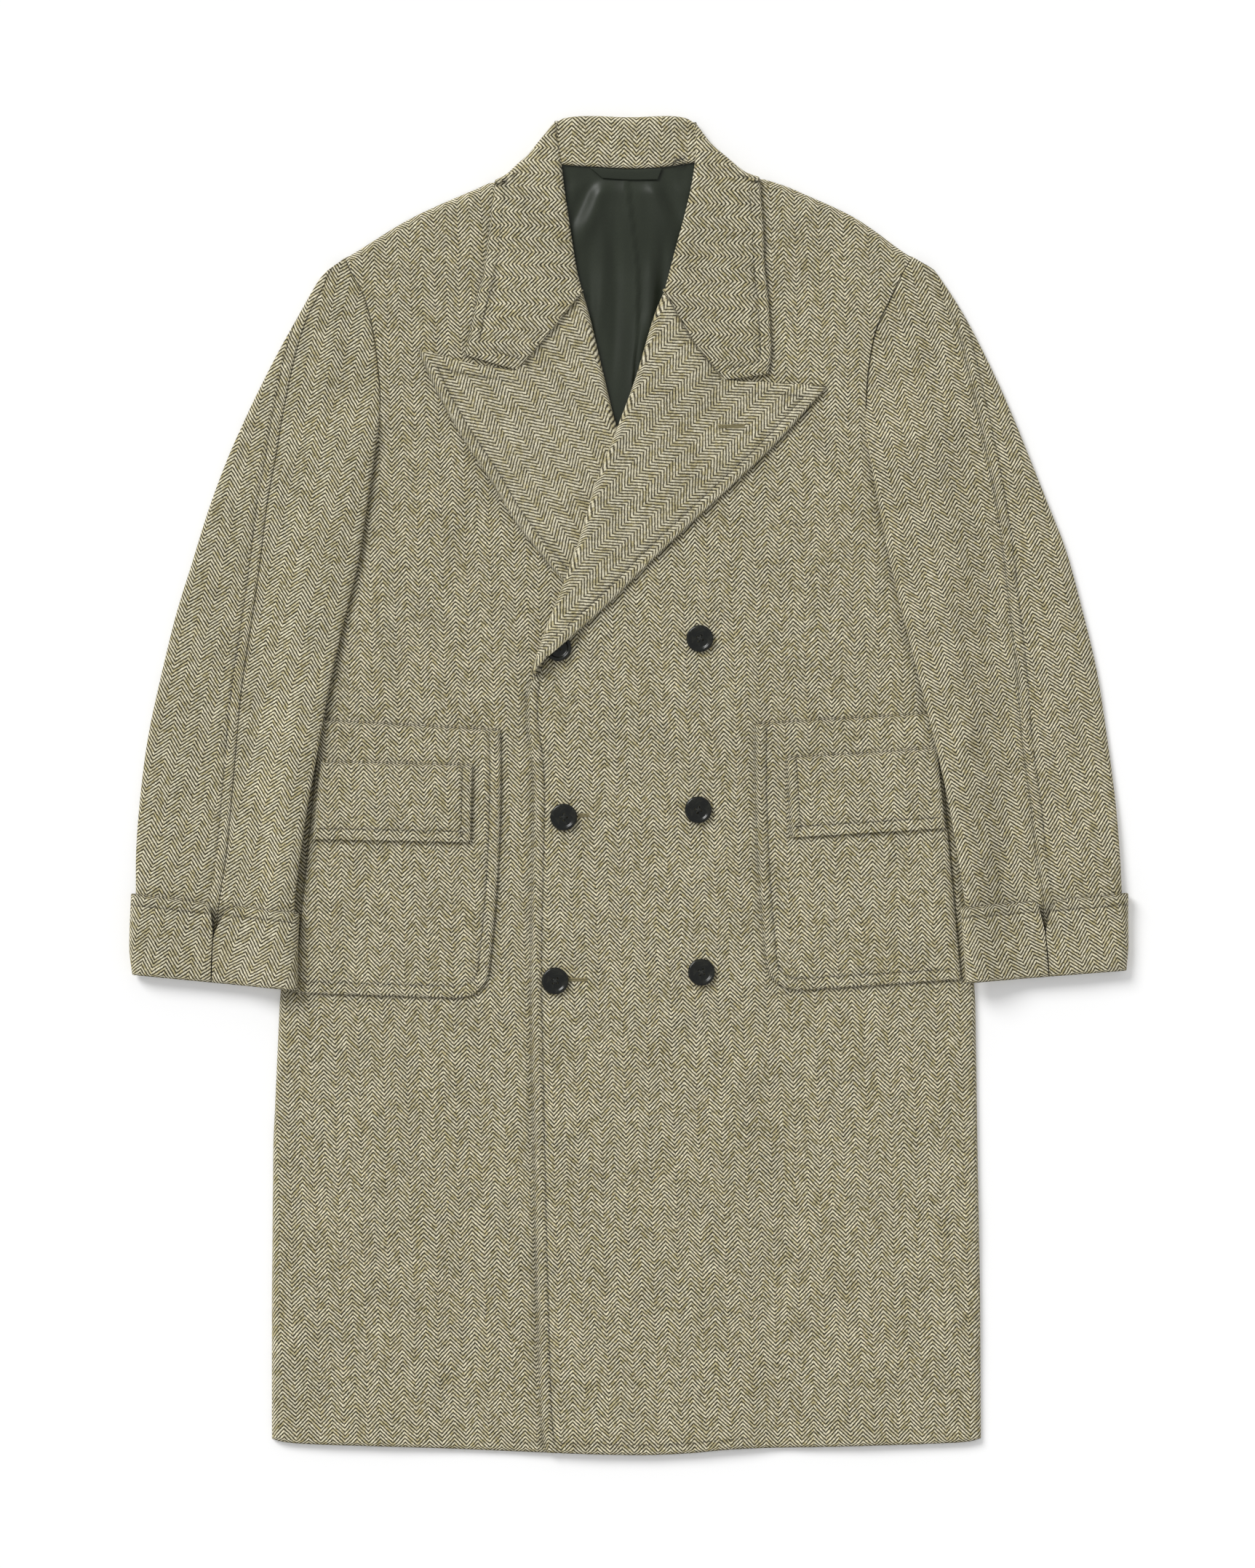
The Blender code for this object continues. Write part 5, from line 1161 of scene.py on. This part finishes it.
def build_sleeve(own, inward, tweed):
    """One of a sleeve's two pieces: the inward one lies next to the body, the other outside."""
    wearer = own.name
    node = "sleeve_%s_%s" % (wearer, "inner" if inward else "outer")
    grid = []
    top_count = 0
    rows = curve(own.sleeve, 9)
    for k, row in enumerate(rows):
        width = math.hypot(row[2] - row[0], row[3] - row[1])
        half_gap = (SEAM_GAP if inward else -SEAM_GAP) / width
        lift = (CUFF_WALL + 1.5 * GAP) * float(step((k / 9.0 - 11.0) / 3.0))
        r = min(SLEEVE_ROUND, 0.2 * width) / width
        seam = max(row[4], r + 0.04) + half_gap
        hidden = max(SLEEVE_HIDDEN_SEAM, r + 0.04) + half_gap
        round_width = ARMHOLE_ROUND + (SLEEVE_ROUND - ARMHOLE_ROUND) * float(step((k / 9.0 - 4.5) / 3.0))
        if not inward:
            round_width = SLEEVE_ROUND
        top_mm = [0.0, 3.0, 6.0] if inward else [0.0, 3.0, 5.5, 7.6, 8.8, 10.0, 11.2, 13.5]
        points, top_count = tube_points(row, inward, seam, hidden,
                                        lambda x, y: sleeve_rest(x, y, own) + lift,
                                        SLEEVE_HEIGHT, round_width, top_mm, 15 if inward else 9)
        grid.append(points)
    grid = np.array(grid)
    x, y = grid[..., 0], grid[..., 1]
    on_top = np.zeros(grid.shape[1])
    on_top[:top_count + 5] = 1.0
    on_top[top_count + 5:top_count + 9] = [0.8, 0.55, 0.3, 0.1]
    # fold heights first; further down the same name carries painted shade
    crease = folds(SLEEVE_FOLDS, x, y) + 0.8 * ripple(x, y, 2.5)
    seam_at = grid[:, 0, :2]
    from_seam = distance_to(seam_at[::3], x, y)
    quiet = 0.35 + 0.65 * step(from_seam / 18.0)
    grid[..., 2] += crease * on_top * quiet
    if inward:
        grid[..., 2] -= 0.45 * bell(from_seam, 3.0) * on_top
    else:
        grid[..., 2] += 0.45 * bell(from_seam, 9.0) * on_top
        grid[..., 2] -= 1.0 * groove(from_seam - SLEEVE_STITCH_INSET) * on_top
    # painted shade in the stitching groove beside the outer piece's seam
    painted_stitch_shade = PAINTED_SLEEVE_SHADE * bell(from_seam - SLEEVE_STITCH_INSET, PAINTED_SHADE_WIDTH) * on_top
    crease = np.zeros(x.shape) if inward else painted_stitch_shade
    # painted shade on what the cuff covers, which shows where the cuff parts
    cuff = own.cuff
    (out_x, out_y), (in_x, in_y) = cuff[0][:2], cuff[0][2:4]
    cuff_edge = out_y + (in_y - out_y) * clip01((x - out_x) / (in_x - out_x))
    crease = np.maximum(crease, step((cuff_edge + 2.0 - y) / 14.0))
    flat = unrolled(grid, 0, top_count)
    return shell("cloth_" + node, grid, SLEEVE_WALL, grain_of(flat, GRAIN["sleeve_" + wearer]), tweed,
                 up=(grid.shape[0] // 2, 6), edges=(SEAM, SEAM, SEAM if inward else OPEN_SEAM, SEAM),
                 crease=crease)


def build_cuff(own, inward, tweed):
    """One of a turned-back cuff's two pieces; their free edges part above the seam."""
    wearer = own.name
    node = "cuff_%s_%s" % (wearer, "inner" if inward else "outer")
    rows = curve(own.cuff, 14)
    run = np.concatenate([[0.0], np.cumsum(np.hypot(*np.diff(rows[:, :2], axis=0).T))])
    depth = shares(run[-1], [0.0, 3.0, 6.0, 8.4, 9.7, 10.8, 12.0, 14.0], [0.0, 2.5], 4.0) * run[-1]
    rows = np.array([[np.interp(d, run, rows[:, k]) for k in range(6)] for d in depth])
    grid = []
    top_count = 0
    for row in rows:
        width = math.hypot(row[2] - row[0], row[3] - row[1])
        half_gap = (CUFF_GAP if inward else -CUFF_GAP) / width
        seam = (row[5] if inward else row[4]) + half_gap
        points, top_count = tube_points(row, inward, seam, SLEEVE_HIDDEN_SEAM + half_gap,
                                        lambda x, y: sleeve_rest(x, y, own), CUFF_HEIGHT,
                                        SLEEVE_ROUND + 1.0, [0.0, 2.5, 5.0], 18)
        grid.append(points)
    grid = np.array(grid)
    x, y = grid[..., 0], grid[..., 1]
    on_top = np.zeros(grid.shape[1])
    on_top[:top_count + 5] = 1.0
    on_top[top_count + 5:top_count + 9] = [0.8, 0.55, 0.3, 0.1]
    down = np.repeat(depth[:, None], grid.shape[1], axis=1)
    # the free edge stands a little open round the sleeve
    flare = 1.6 * np.exp(-down / 9.0) * (0.7 + 0.3 * np.sin(x / 17.0))
    grid[..., 2] += (flare + 0.6 * ripple(1.6 * x, 1.6 * y, 0.9)) * on_top
    grid[..., 2] -= 1.0 * groove(down - STITCH_INSET) * on_top
    # painted shade in the stitching groove
    crease = PAINTED_GROOVE_SHADE * bell(down - STITCH_INSET, PAINTED_SHADE_WIDTH) * on_top
    roll_under = np.exp(-(run[-1] - down) / 3.0)
    grid[..., 2] -= 1.2 * roll_under * on_top
    flat = unrolled(grid, 0, top_count)
    return shell("cloth_" + node, grid, CUFF_WALL, grain_of(flat, GRAIN[node]), tweed,
                 up=(grid.shape[0] // 2, 6), edges=(FOLDED, FOLDED, SEAM, SEAM), crease=crease)


# Sewing

def tube_mesh(paths, radius, sides):
    """Vertices and faces of round rods along short open paths, with capped and narrowed ends."""
    verts, faces = [], []
    ring = [(math.cos(2 * math.pi * k / sides), math.sin(2 * math.pi * k / sides)) for k in range(sides)]
    for path in paths:
        path = np.asarray(path, float)
        along = unit(np.gradient(path, axis=0))
        sideways = unit(np.cross(along, [0.0, 0.0, 1.0]) + 1e-6)
        upward = np.cross(sideways, along)
        base = len(verts)
        for i, point in enumerate(path):
            r = radius * (0.55 if i in (0, len(path) - 1) else 1.0)
            verts += [tuple(point + r * (c * sideways[i] + s * upward[i])) for c, s in ring]
        for i in range(len(path) - 1):
            for k in range(sides):
                a, b = base + i * sides + k, base + i * sides + (k + 1) % sides
                faces.append((a, b, b + sides, a + sides))
        faces.append(tuple(base + k for k in range(sides))[::-1])
        faces.append(tuple(base + (len(path) - 1) * sides + k for k in range(sides)))
    return verts, faces


def make_rods(name, paths, radius, material, sides=6):
    mesh = make_mesh(name, *tube_mesh(paths, radius, sides))
    mesh.shade_smooth()
    ob = place(name, mesh, material)
    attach(ob, "root")
    return ob


STITCH_PITCH, STITCH_LENGTH, STITCH_RADIUS = 5.0, 2.9, 0.40
# Height of a stitch above the cloth, from end to end
STITCH_ARCH = np.array([-0.35, 0.05, 0.15, 0.05, -0.35]) - 0.05


def stitch_line(line, on):
    """Short stitches along a line in plan, laid in the cloth that is under them."""
    line = Line(line, False)
    count = int(line.length / STITCH_PITCH)
    half = 0.5 * STITCH_LENGTH / line.length
    paths = []
    for k in range(count):
        points = line.at((k + 0.5) / count + half * np.array([-1.0, -0.5, 0.0, 0.5, 1.0]))
        z = [height_on(on, px, py, None) for px, py in points]
        if None not in z:
            paths.append(np.column_stack([points, np.array(z) + STITCH_ARCH]))
    return paths


def sew_side(own, sewing):
    """Stitch lines of one front, its lapel, sleeve and cuff."""
    _, edge, _, top = lapel_lines(own)
    lapel = "cloth_lapel_" + own.name
    inside_edge = pushed(edge.points, own.side * STITCH_INSET)
    inside_top = pushed(top, -own.side * STITCH_INSET)
    cut = np.argmin(distance_to(inside_top, *inside_edge.T))
    cut_top = np.argmin(distance_to(inside_edge, *inside_top.T))
    sewing["lapel_" + own.name] = (stitch_line(inside_edge[4:cut + 1], lapel)
                                   + stitch_line(inside_top[:cut_top + 1], lapel))
    for piece in ("inner", "outer"):
        node = "cuff_%s_%s" % (own.name, piece)
        # the sixth row of a cuff's grid lies at its stitching
        sewing[node] = stitch_line(PIECES["cloth_" + node][1][5, 1:26, :2], "cloth_" + node)
    node = "sleeve_%s_outer" % own.name
    beside_seam = pushed(PIECES["cloth_" + node][1][:, 0, :2], own.side * SLEEVE_STITCH_INSET)
    sewing[node] = stitch_line(beside_seam[12:118], "cloth_" + node)


def leaf_stitches():
    paths = []
    for own in (RIGHT, LEFT):
        edge = curve(own.leaf_edge)
        lower = np.linspace(curve(own.gorge)[-1], edge[0], 12)
        paths += stitch_line(pushed(edge, own.side * STITCH_INSET)[10:-10], "cloth_collar_leaf")
        paths += stitch_line(pushed(lower, own.side * STITCH_INSET)[:9], "cloth_collar_leaf")
    return paths


def make_all():
    tweed = make_tweed("Tweed")
    collar_tweed = make_tweed("Collar_tweed")
    lapel_tweed = make_tweed("Lapel_tweed", 0.42)
    satin = make_satin("Satin", (0.0262, 0.0322, 0.0212))
    tab_satin = make_satin("Tab_satin", (0.026, 0.032, 0.021))
    horn = make_button("Horn")
    thread = make_thread("Stitch_thread", (0.060, 0.052, 0.030))
    khaki = make_thread("Buttonhole_thread", (0.30, 0.255, 0.12))
    dark = make_thread("Dark_thread", (0.016, 0.018, 0.013))

    make_floor()
    build_back(tweed)
    build_lining(satin)
    build_neck_tab(tab_satin)
    build_stand(collar_tweed)
    sewing = {}
    for own in (RIGHT, LEFT):
        build_front(own, tweed)
        build_lapel(own, lapel_tweed)
        pocket_line = patch_edge(own.pocket, own.side, STITCH_INSET, 0.01)
        flap_line = patch_edge(own.flap, own.side, STITCH_INSET - 1.0, 0.02)
        flap_edges = [patch_edge(own.flap, own.side, 0.0)[::6],
                      np.array([own.flap["top_in"], own.flap["top_out"]])]
        for kind, under, wall, foot, line, shaded_by in (
                ("pocket_", "front_", POCKET_WALL, [0.0], pocket_line, flap_edges),
                ("flap_", "pocket_", FLAP_WALL, PATCH_EDGE, flap_line, [])):
            node = kind + own.name
            build_patch(node, own, getattr(own, kind[:-1]), "cloth_" + under + own.name, wall, tweed, foot,
                        line, shaded_by)
            sewing[node] = stitch_line(line, "cloth_" + node)
        for inward in (True, False):
            build_sleeve(own, inward, tweed)
            build_cuff(own, inward, tweed)
        sew_side(own, sewing)
    hem_x = np.linspace(-92.0, 112.0, 60)
    hem_path = np.column_stack([hem_x, hem_y(hem_x) + HEM_STITCH_INSET])
    front_edge = pushed(curve(FRONT_EDGE_ROWS), -STITCH_INSET)
    sewing["front_left"] = (stitch_line(front_edge[16:], "cloth_front_left")
                            + stitch_line(hem_path[8:], "cloth_front_left"))
    build_leaf(collar_tweed)
    sewing["collar_leaf"] = leaf_stitches()
    along = {node: [make_rods("stitches_" + node, paths, STITCH_RADIUS, thread)]
             for node, paths in sewing.items() if paths}
    for name, start, stop, node in (("upper", (-46.6, -27.5), (-36.9, -27.5), "front_left"),
                                    ("lower", (-55.3, -179.0), (-38.5, -179.0), "front_left"),
                                    ("lapel", (82.5, 330.5), (106.2, 331.0), "lapel_left")):
        along[node].append(build_buttonhole("buttonhole_" + name, start, stop, "cloth_" + node, khaki))
    build_buttons(horn, dark)
    along["collar_stand"] = [build_loose_threads(dark)]
    along["front_left"].append(build_fuzz())

    lie = {"back": ("laid", ["floor"]), "back_lining": ("laid", ["cloth_back"]),
           "neck_tab": ("laid", ["cloth_back_lining"]), "collar_stand": ("folded", ["cloth_back_lining"]),
           "collar_leaf": ("folded", ["cloth_front_right", "cloth_front_left", "floor"]),
           "front_right": ("laid", ["cloth_back"]),
           "front_left": ("laid", ["cloth_front_right", "cloth_back"])}
    for name in ("right", "left"):
        front = "cloth_front_" + name
        lie["lapel_" + name] = ("folded", [front])
        lie["pocket_" + name] = ("laid", [front])
        lie["flap_" + name] = ("laid", ["cloth_pocket_" + name])
        for piece in ("inner", "outer"):
            sleeve = "sleeve_%s_%s" % (name, piece)
            lie[sleeve] = ("folded", [front, "floor"] if piece == "inner" else ["floor"])
            lie["cuff_%s_%s" % (name, piece)] = ("folded", ["cloth_" + sleeve])
    for node, (held, rests_on) in lie.items():
        declare(node)


def build_buttonhole(name, start, stop, on, material):
    """A worked buttonhole: close stitches across both sides of a slit."""
    start, stop = np.array(start), np.array(stop)
    length = math.hypot(*(stop - start))
    along = (stop - start) / length
    across = np.array([-along[1], along[0]])
    count = int(length / 0.62)
    paths = []
    for k in range(count + 1):
        middle = start + along * length * k / count
        for way in (-1.0, 1.0):
            wobble = 0.12 * math.sin(5.1 * k + way)
            places = [middle + across * way * d for d in (0.15, 0.55, 1.15 + wobble, 1.75 + wobble)]
            paths.append([(px, py, height_on(on, px, py) + lift)
                          for (px, py), lift in zip(places, (0.25, 0.55, 0.45, -0.15))])
    return make_rods(name, paths, 0.33, material, sides=5)


# Half profile of a button from the middle of its back over the rim to the middle of its face
BUTTON_PROFILE = [(0.0, 0.0), (8.6, 0.0), (10.6, 0.35), (12.1, 1.3), (12.5, 2.2), (12.35, 3.1), (11.8, 3.8),
                  (11.0, 4.15), (10.1, 4.15), (9.3, 3.7), (8.7, 3.15), (7.8, 2.75), (6.2, 2.6), (4.6, 2.68),
                  (0.0, 2.75)]
# How each button tilts, in radians, and turns, in degrees
BUTTON_SETS = {"1": (0.04, -0.03, 20.0), "2": (-0.03, 0.05, 10.0), "3": (0.05, 0.02, 32.0),
               "4": (0.02, -0.04, 45.0), "5": (-0.04, 0.05, 12.0), "6": (0.05, 0.03, 4.0)}
HOLE_RADIUS, HOLE_PLACE = 1.15, 2.7


def turned_button(name):
    """A button turned round its profile, before its holes are cut."""
    steps = 64
    ring = [(math.cos(2 * math.pi * k / steps), math.sin(2 * math.pi * k / steps)) for k in range(steps)]
    verts, faces = [(0.0, 0.0, 0.0)], []
    for pr, pz in BUTTON_PROFILE[1:-1]:
        verts += [(pr * c, pr * s, pz) for c, s in ring]
    verts.append((0.0, 0.0, BUTTON_PROFILE[-1][1]))
    last = 1 + (len(BUTTON_PROFILE) - 3) * steps
    for k in range(steps):
        n = (k + 1) % steps
        faces.append((0, 1 + n, 1 + k))
        for a in range(1, last, steps):
            faces.append((a + k, a + n, a + steps + n, a + steps + k))
        faces.append((last + k, last + n, len(verts) - 1))
    mesh = make_mesh(name, verts, faces)
    face_outward(mesh)
    return mesh


def cut_holes(ob):
    """Four round holes through a button."""
    cutter = bmesh.new()
    for k in range(4):
        angle = math.radians(45.0 + 90.0 * k)
        hole = bmesh.ops.create_cone(cutter, cap_ends=True, segments=20, radius1=HOLE_RADIUS * MM,
                                     radius2=HOLE_RADIUS * MM, depth=20.0 * MM)
        shift = (HOLE_PLACE * MM * math.cos(angle), HOLE_PLACE * MM * math.sin(angle), 0.0)
        bmesh.ops.translate(cutter, verts=hole["verts"], vec=shift)
    mesh = bpy.data.meshes.new("cutter")
    cutter.to_mesh(mesh)
    cutter.free()
    tool = place("cutter", mesh)
    cut = ob.modifiers.new("Holes", "BOOLEAN")
    cut.operation = "DIFFERENCE"
    cut.object = tool
    cut.solver = "EXACT"
    depsgraph = bpy.context.evaluated_depsgraph_get()
    done = bpy.data.meshes.new_from_object(ob.evaluated_get(depsgraph))
    ob.modifiers.clear()
    ob.data = done
    bpy.data.objects.remove(tool, do_unlink=True)
    return done


def build_buttons(horn, thread):
    """Turned buttons with a raised rim, a dished middle and four sewn holes."""
    for number, x, y in BUTTONS:
        ob = place("horn_button_" + number, turned_button("horn_button_" + number))
        mesh = cut_holes(ob)
        mesh.materials.clear()
        mesh.materials.append(horn)
        mesh.shade_smooth()
        mesh.set_sharp_from_angle(angle=math.radians(35.0))
        turn = np.arange(16) * math.tau / 16
        z = max(height_on("cloth_front_left", px, py) for px, py in
                zip(x + BUTTON_RADIUS * np.cos(turn), y + BUTTON_RADIUS * np.sin(turn))) + 0.35
        tilt_x, tilt_y, spin = BUTTON_SETS[number]
        ob.location = (x * MM, y * MM, z * MM)
        ob.rotation_euler = (tilt_x, tilt_y, math.radians(spin))
        bpy.context.view_layer.update()
        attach(ob, "root")
        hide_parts("button_" + number)
        paths = []
        for k in range(2):
            a = math.radians(spin) + math.radians(45.0 + 90.0 * k)
            for off in (-0.28, 0.28):
                paths.append([(x + HOLE_PLACE * math.cos(a) * s - math.sin(a) * off,
                               y + HOLE_PLACE * math.sin(a) * s + math.cos(a) * off, z + h)
                              for s, h in ((1.0, 1.0), (0.98, 2.7), (0.6, 3.15), (0.0, 3.25 + 0.3 * k),
                                           (-0.6, 3.15), (-0.98, 2.7), (-1.0, 1.0))])
        make_rods("button_thread_" + number, paths, 0.28, thread)


# Dark ends of thread at the stand's left lower corner: from x, y, to x, y, and bow
LOOSE_THREADS = [(40, 569.5, 47.5, 577.5, 2), (44, 570, 52, 574.5, -2.4), (46, 575.5, 41.5, 580, 1.6),
                 (48.5, 571, 46.5, 580.5, -1.8), (38.5, 573, 50.5, 571.5, 1.5), (43, 576, 51.5, 578.5, -1)]


def build_loose_threads(material):
    paths = []
    for x1, y1, x2, y2, bow in LOOSE_THREADS:
        t = np.linspace(0.0, 1.0, 9)
        nx, ny = -(y2 - y1), x2 - x1
        size = math.hypot(nx, ny)
        px = x1 + (x2 - x1) * t + nx / size * bow * np.sin(math.pi * t)
        py = y1 + (y2 - y1) * t + ny / size * bow * np.sin(math.pi * t)
        z = [height_on("cloth_collar_stand", a, b, 9.5) + 0.35 + 0.5 * math.sin(math.pi * s)
             for a, b, s in zip(px, py, t)]
        paths.append(np.column_stack([px, py, z]))
    return make_rods("loose_threads", paths, 0.24, material, sides=5)


def build_fuzz():
    """Short wool fibres that stand out along the hem."""
    rng = np.random.default_rng(7)
    paths = []
    for x in rng.uniform(-326.0, 322.0, 420):
        y = float(hem_y(x))
        length = rng.uniform(1.2, 3.4)
        lean = rng.uniform(-0.9, 0.9)
        z = rng.uniform(1.5, 5.0)
        curl = rng.uniform(-0.6, 0.6)
        paths.append([(x, y + 0.8, z), (x + lean * 0.4 * length, y - 0.45 * length, z + 0.3),
                      (x + lean * 0.7 * length + curl, y - 0.8 * length, z + 0.2)])
    return make_rods("hem_fibres", paths, 0.07, make_thread("Wool_fibre", (0.55, 0.50, 0.38)), sides=3)


def make_floor():
    m = Material("Floor")
    m.give(m.shader, {"Base Color": (0.95, 0.95, 0.95, 1.0), "Emission Color": (1.0, 1.0, 1.0, 1.0),
                      "Emission Strength": 0.155, "Roughness": 0.9, "Specular IOR Level": 0.0})
    half = 6000.0
    corners = [(-half, -half, 0), (half, -half, 0), (half, half, 0), (-half, half, 0)]
    ob = place("floor", make_mesh("floor", corners, [(0, 1, 2, 3)]), m.mat)
    ob.location = (0.0, 0.0, -0.0004)


# The sun's direction in degrees from the coat's left toward its neck, its height, strength and width
SUN_AZIMUTH, SUN_ELEVATION, SUN_STRENGTH, SUN_WIDTH = 132.0, 37.0, 2.11, 28.0
# Camera above the coat in metres, and the height of the field it sees
CAMERA_PLACE, FIELD = (-0.0013, 0.0013, 6.010), 1.4445


def set_light_and_camera():
    scene = bpy.context.scene
    scene.view_settings.view_transform = "Standard"
    scene.view_settings.look = "None"
    scene.world = bpy.data.worlds.new("Studio")
    scene.world.use_nodes = True
    background = scene.world.node_tree.nodes["Background"]
    background.inputs[0].default_value = (1.0, 1.0, 1.0, 1.0)
    background.inputs[1].default_value = 0.50
    sun = bpy.data.lights.new("key", "SUN")
    sun.energy = SUN_STRENGTH
    sun.angle = math.radians(SUN_WIDTH)
    ob = place("key", sun)
    ob.rotation_euler = (math.radians(90.0 - SUN_ELEVATION), 0.0, math.radians(SUN_AZIMUTH + 90.0))
    ob.location = (-1.0, 1.0, 2.0)
    camera = bpy.data.cameras.new("camera")
    camera.sensor_fit = "VERTICAL"
    camera.sensor_height = 36.0
    camera.lens = 36.0 * 6.0 / FIELD
    camera.clip_end = 50.0
    ob = place("camera", camera)
    ob.location = CAMERA_PLACE
    scene.camera = ob


make_all()
set_light_and_camera()
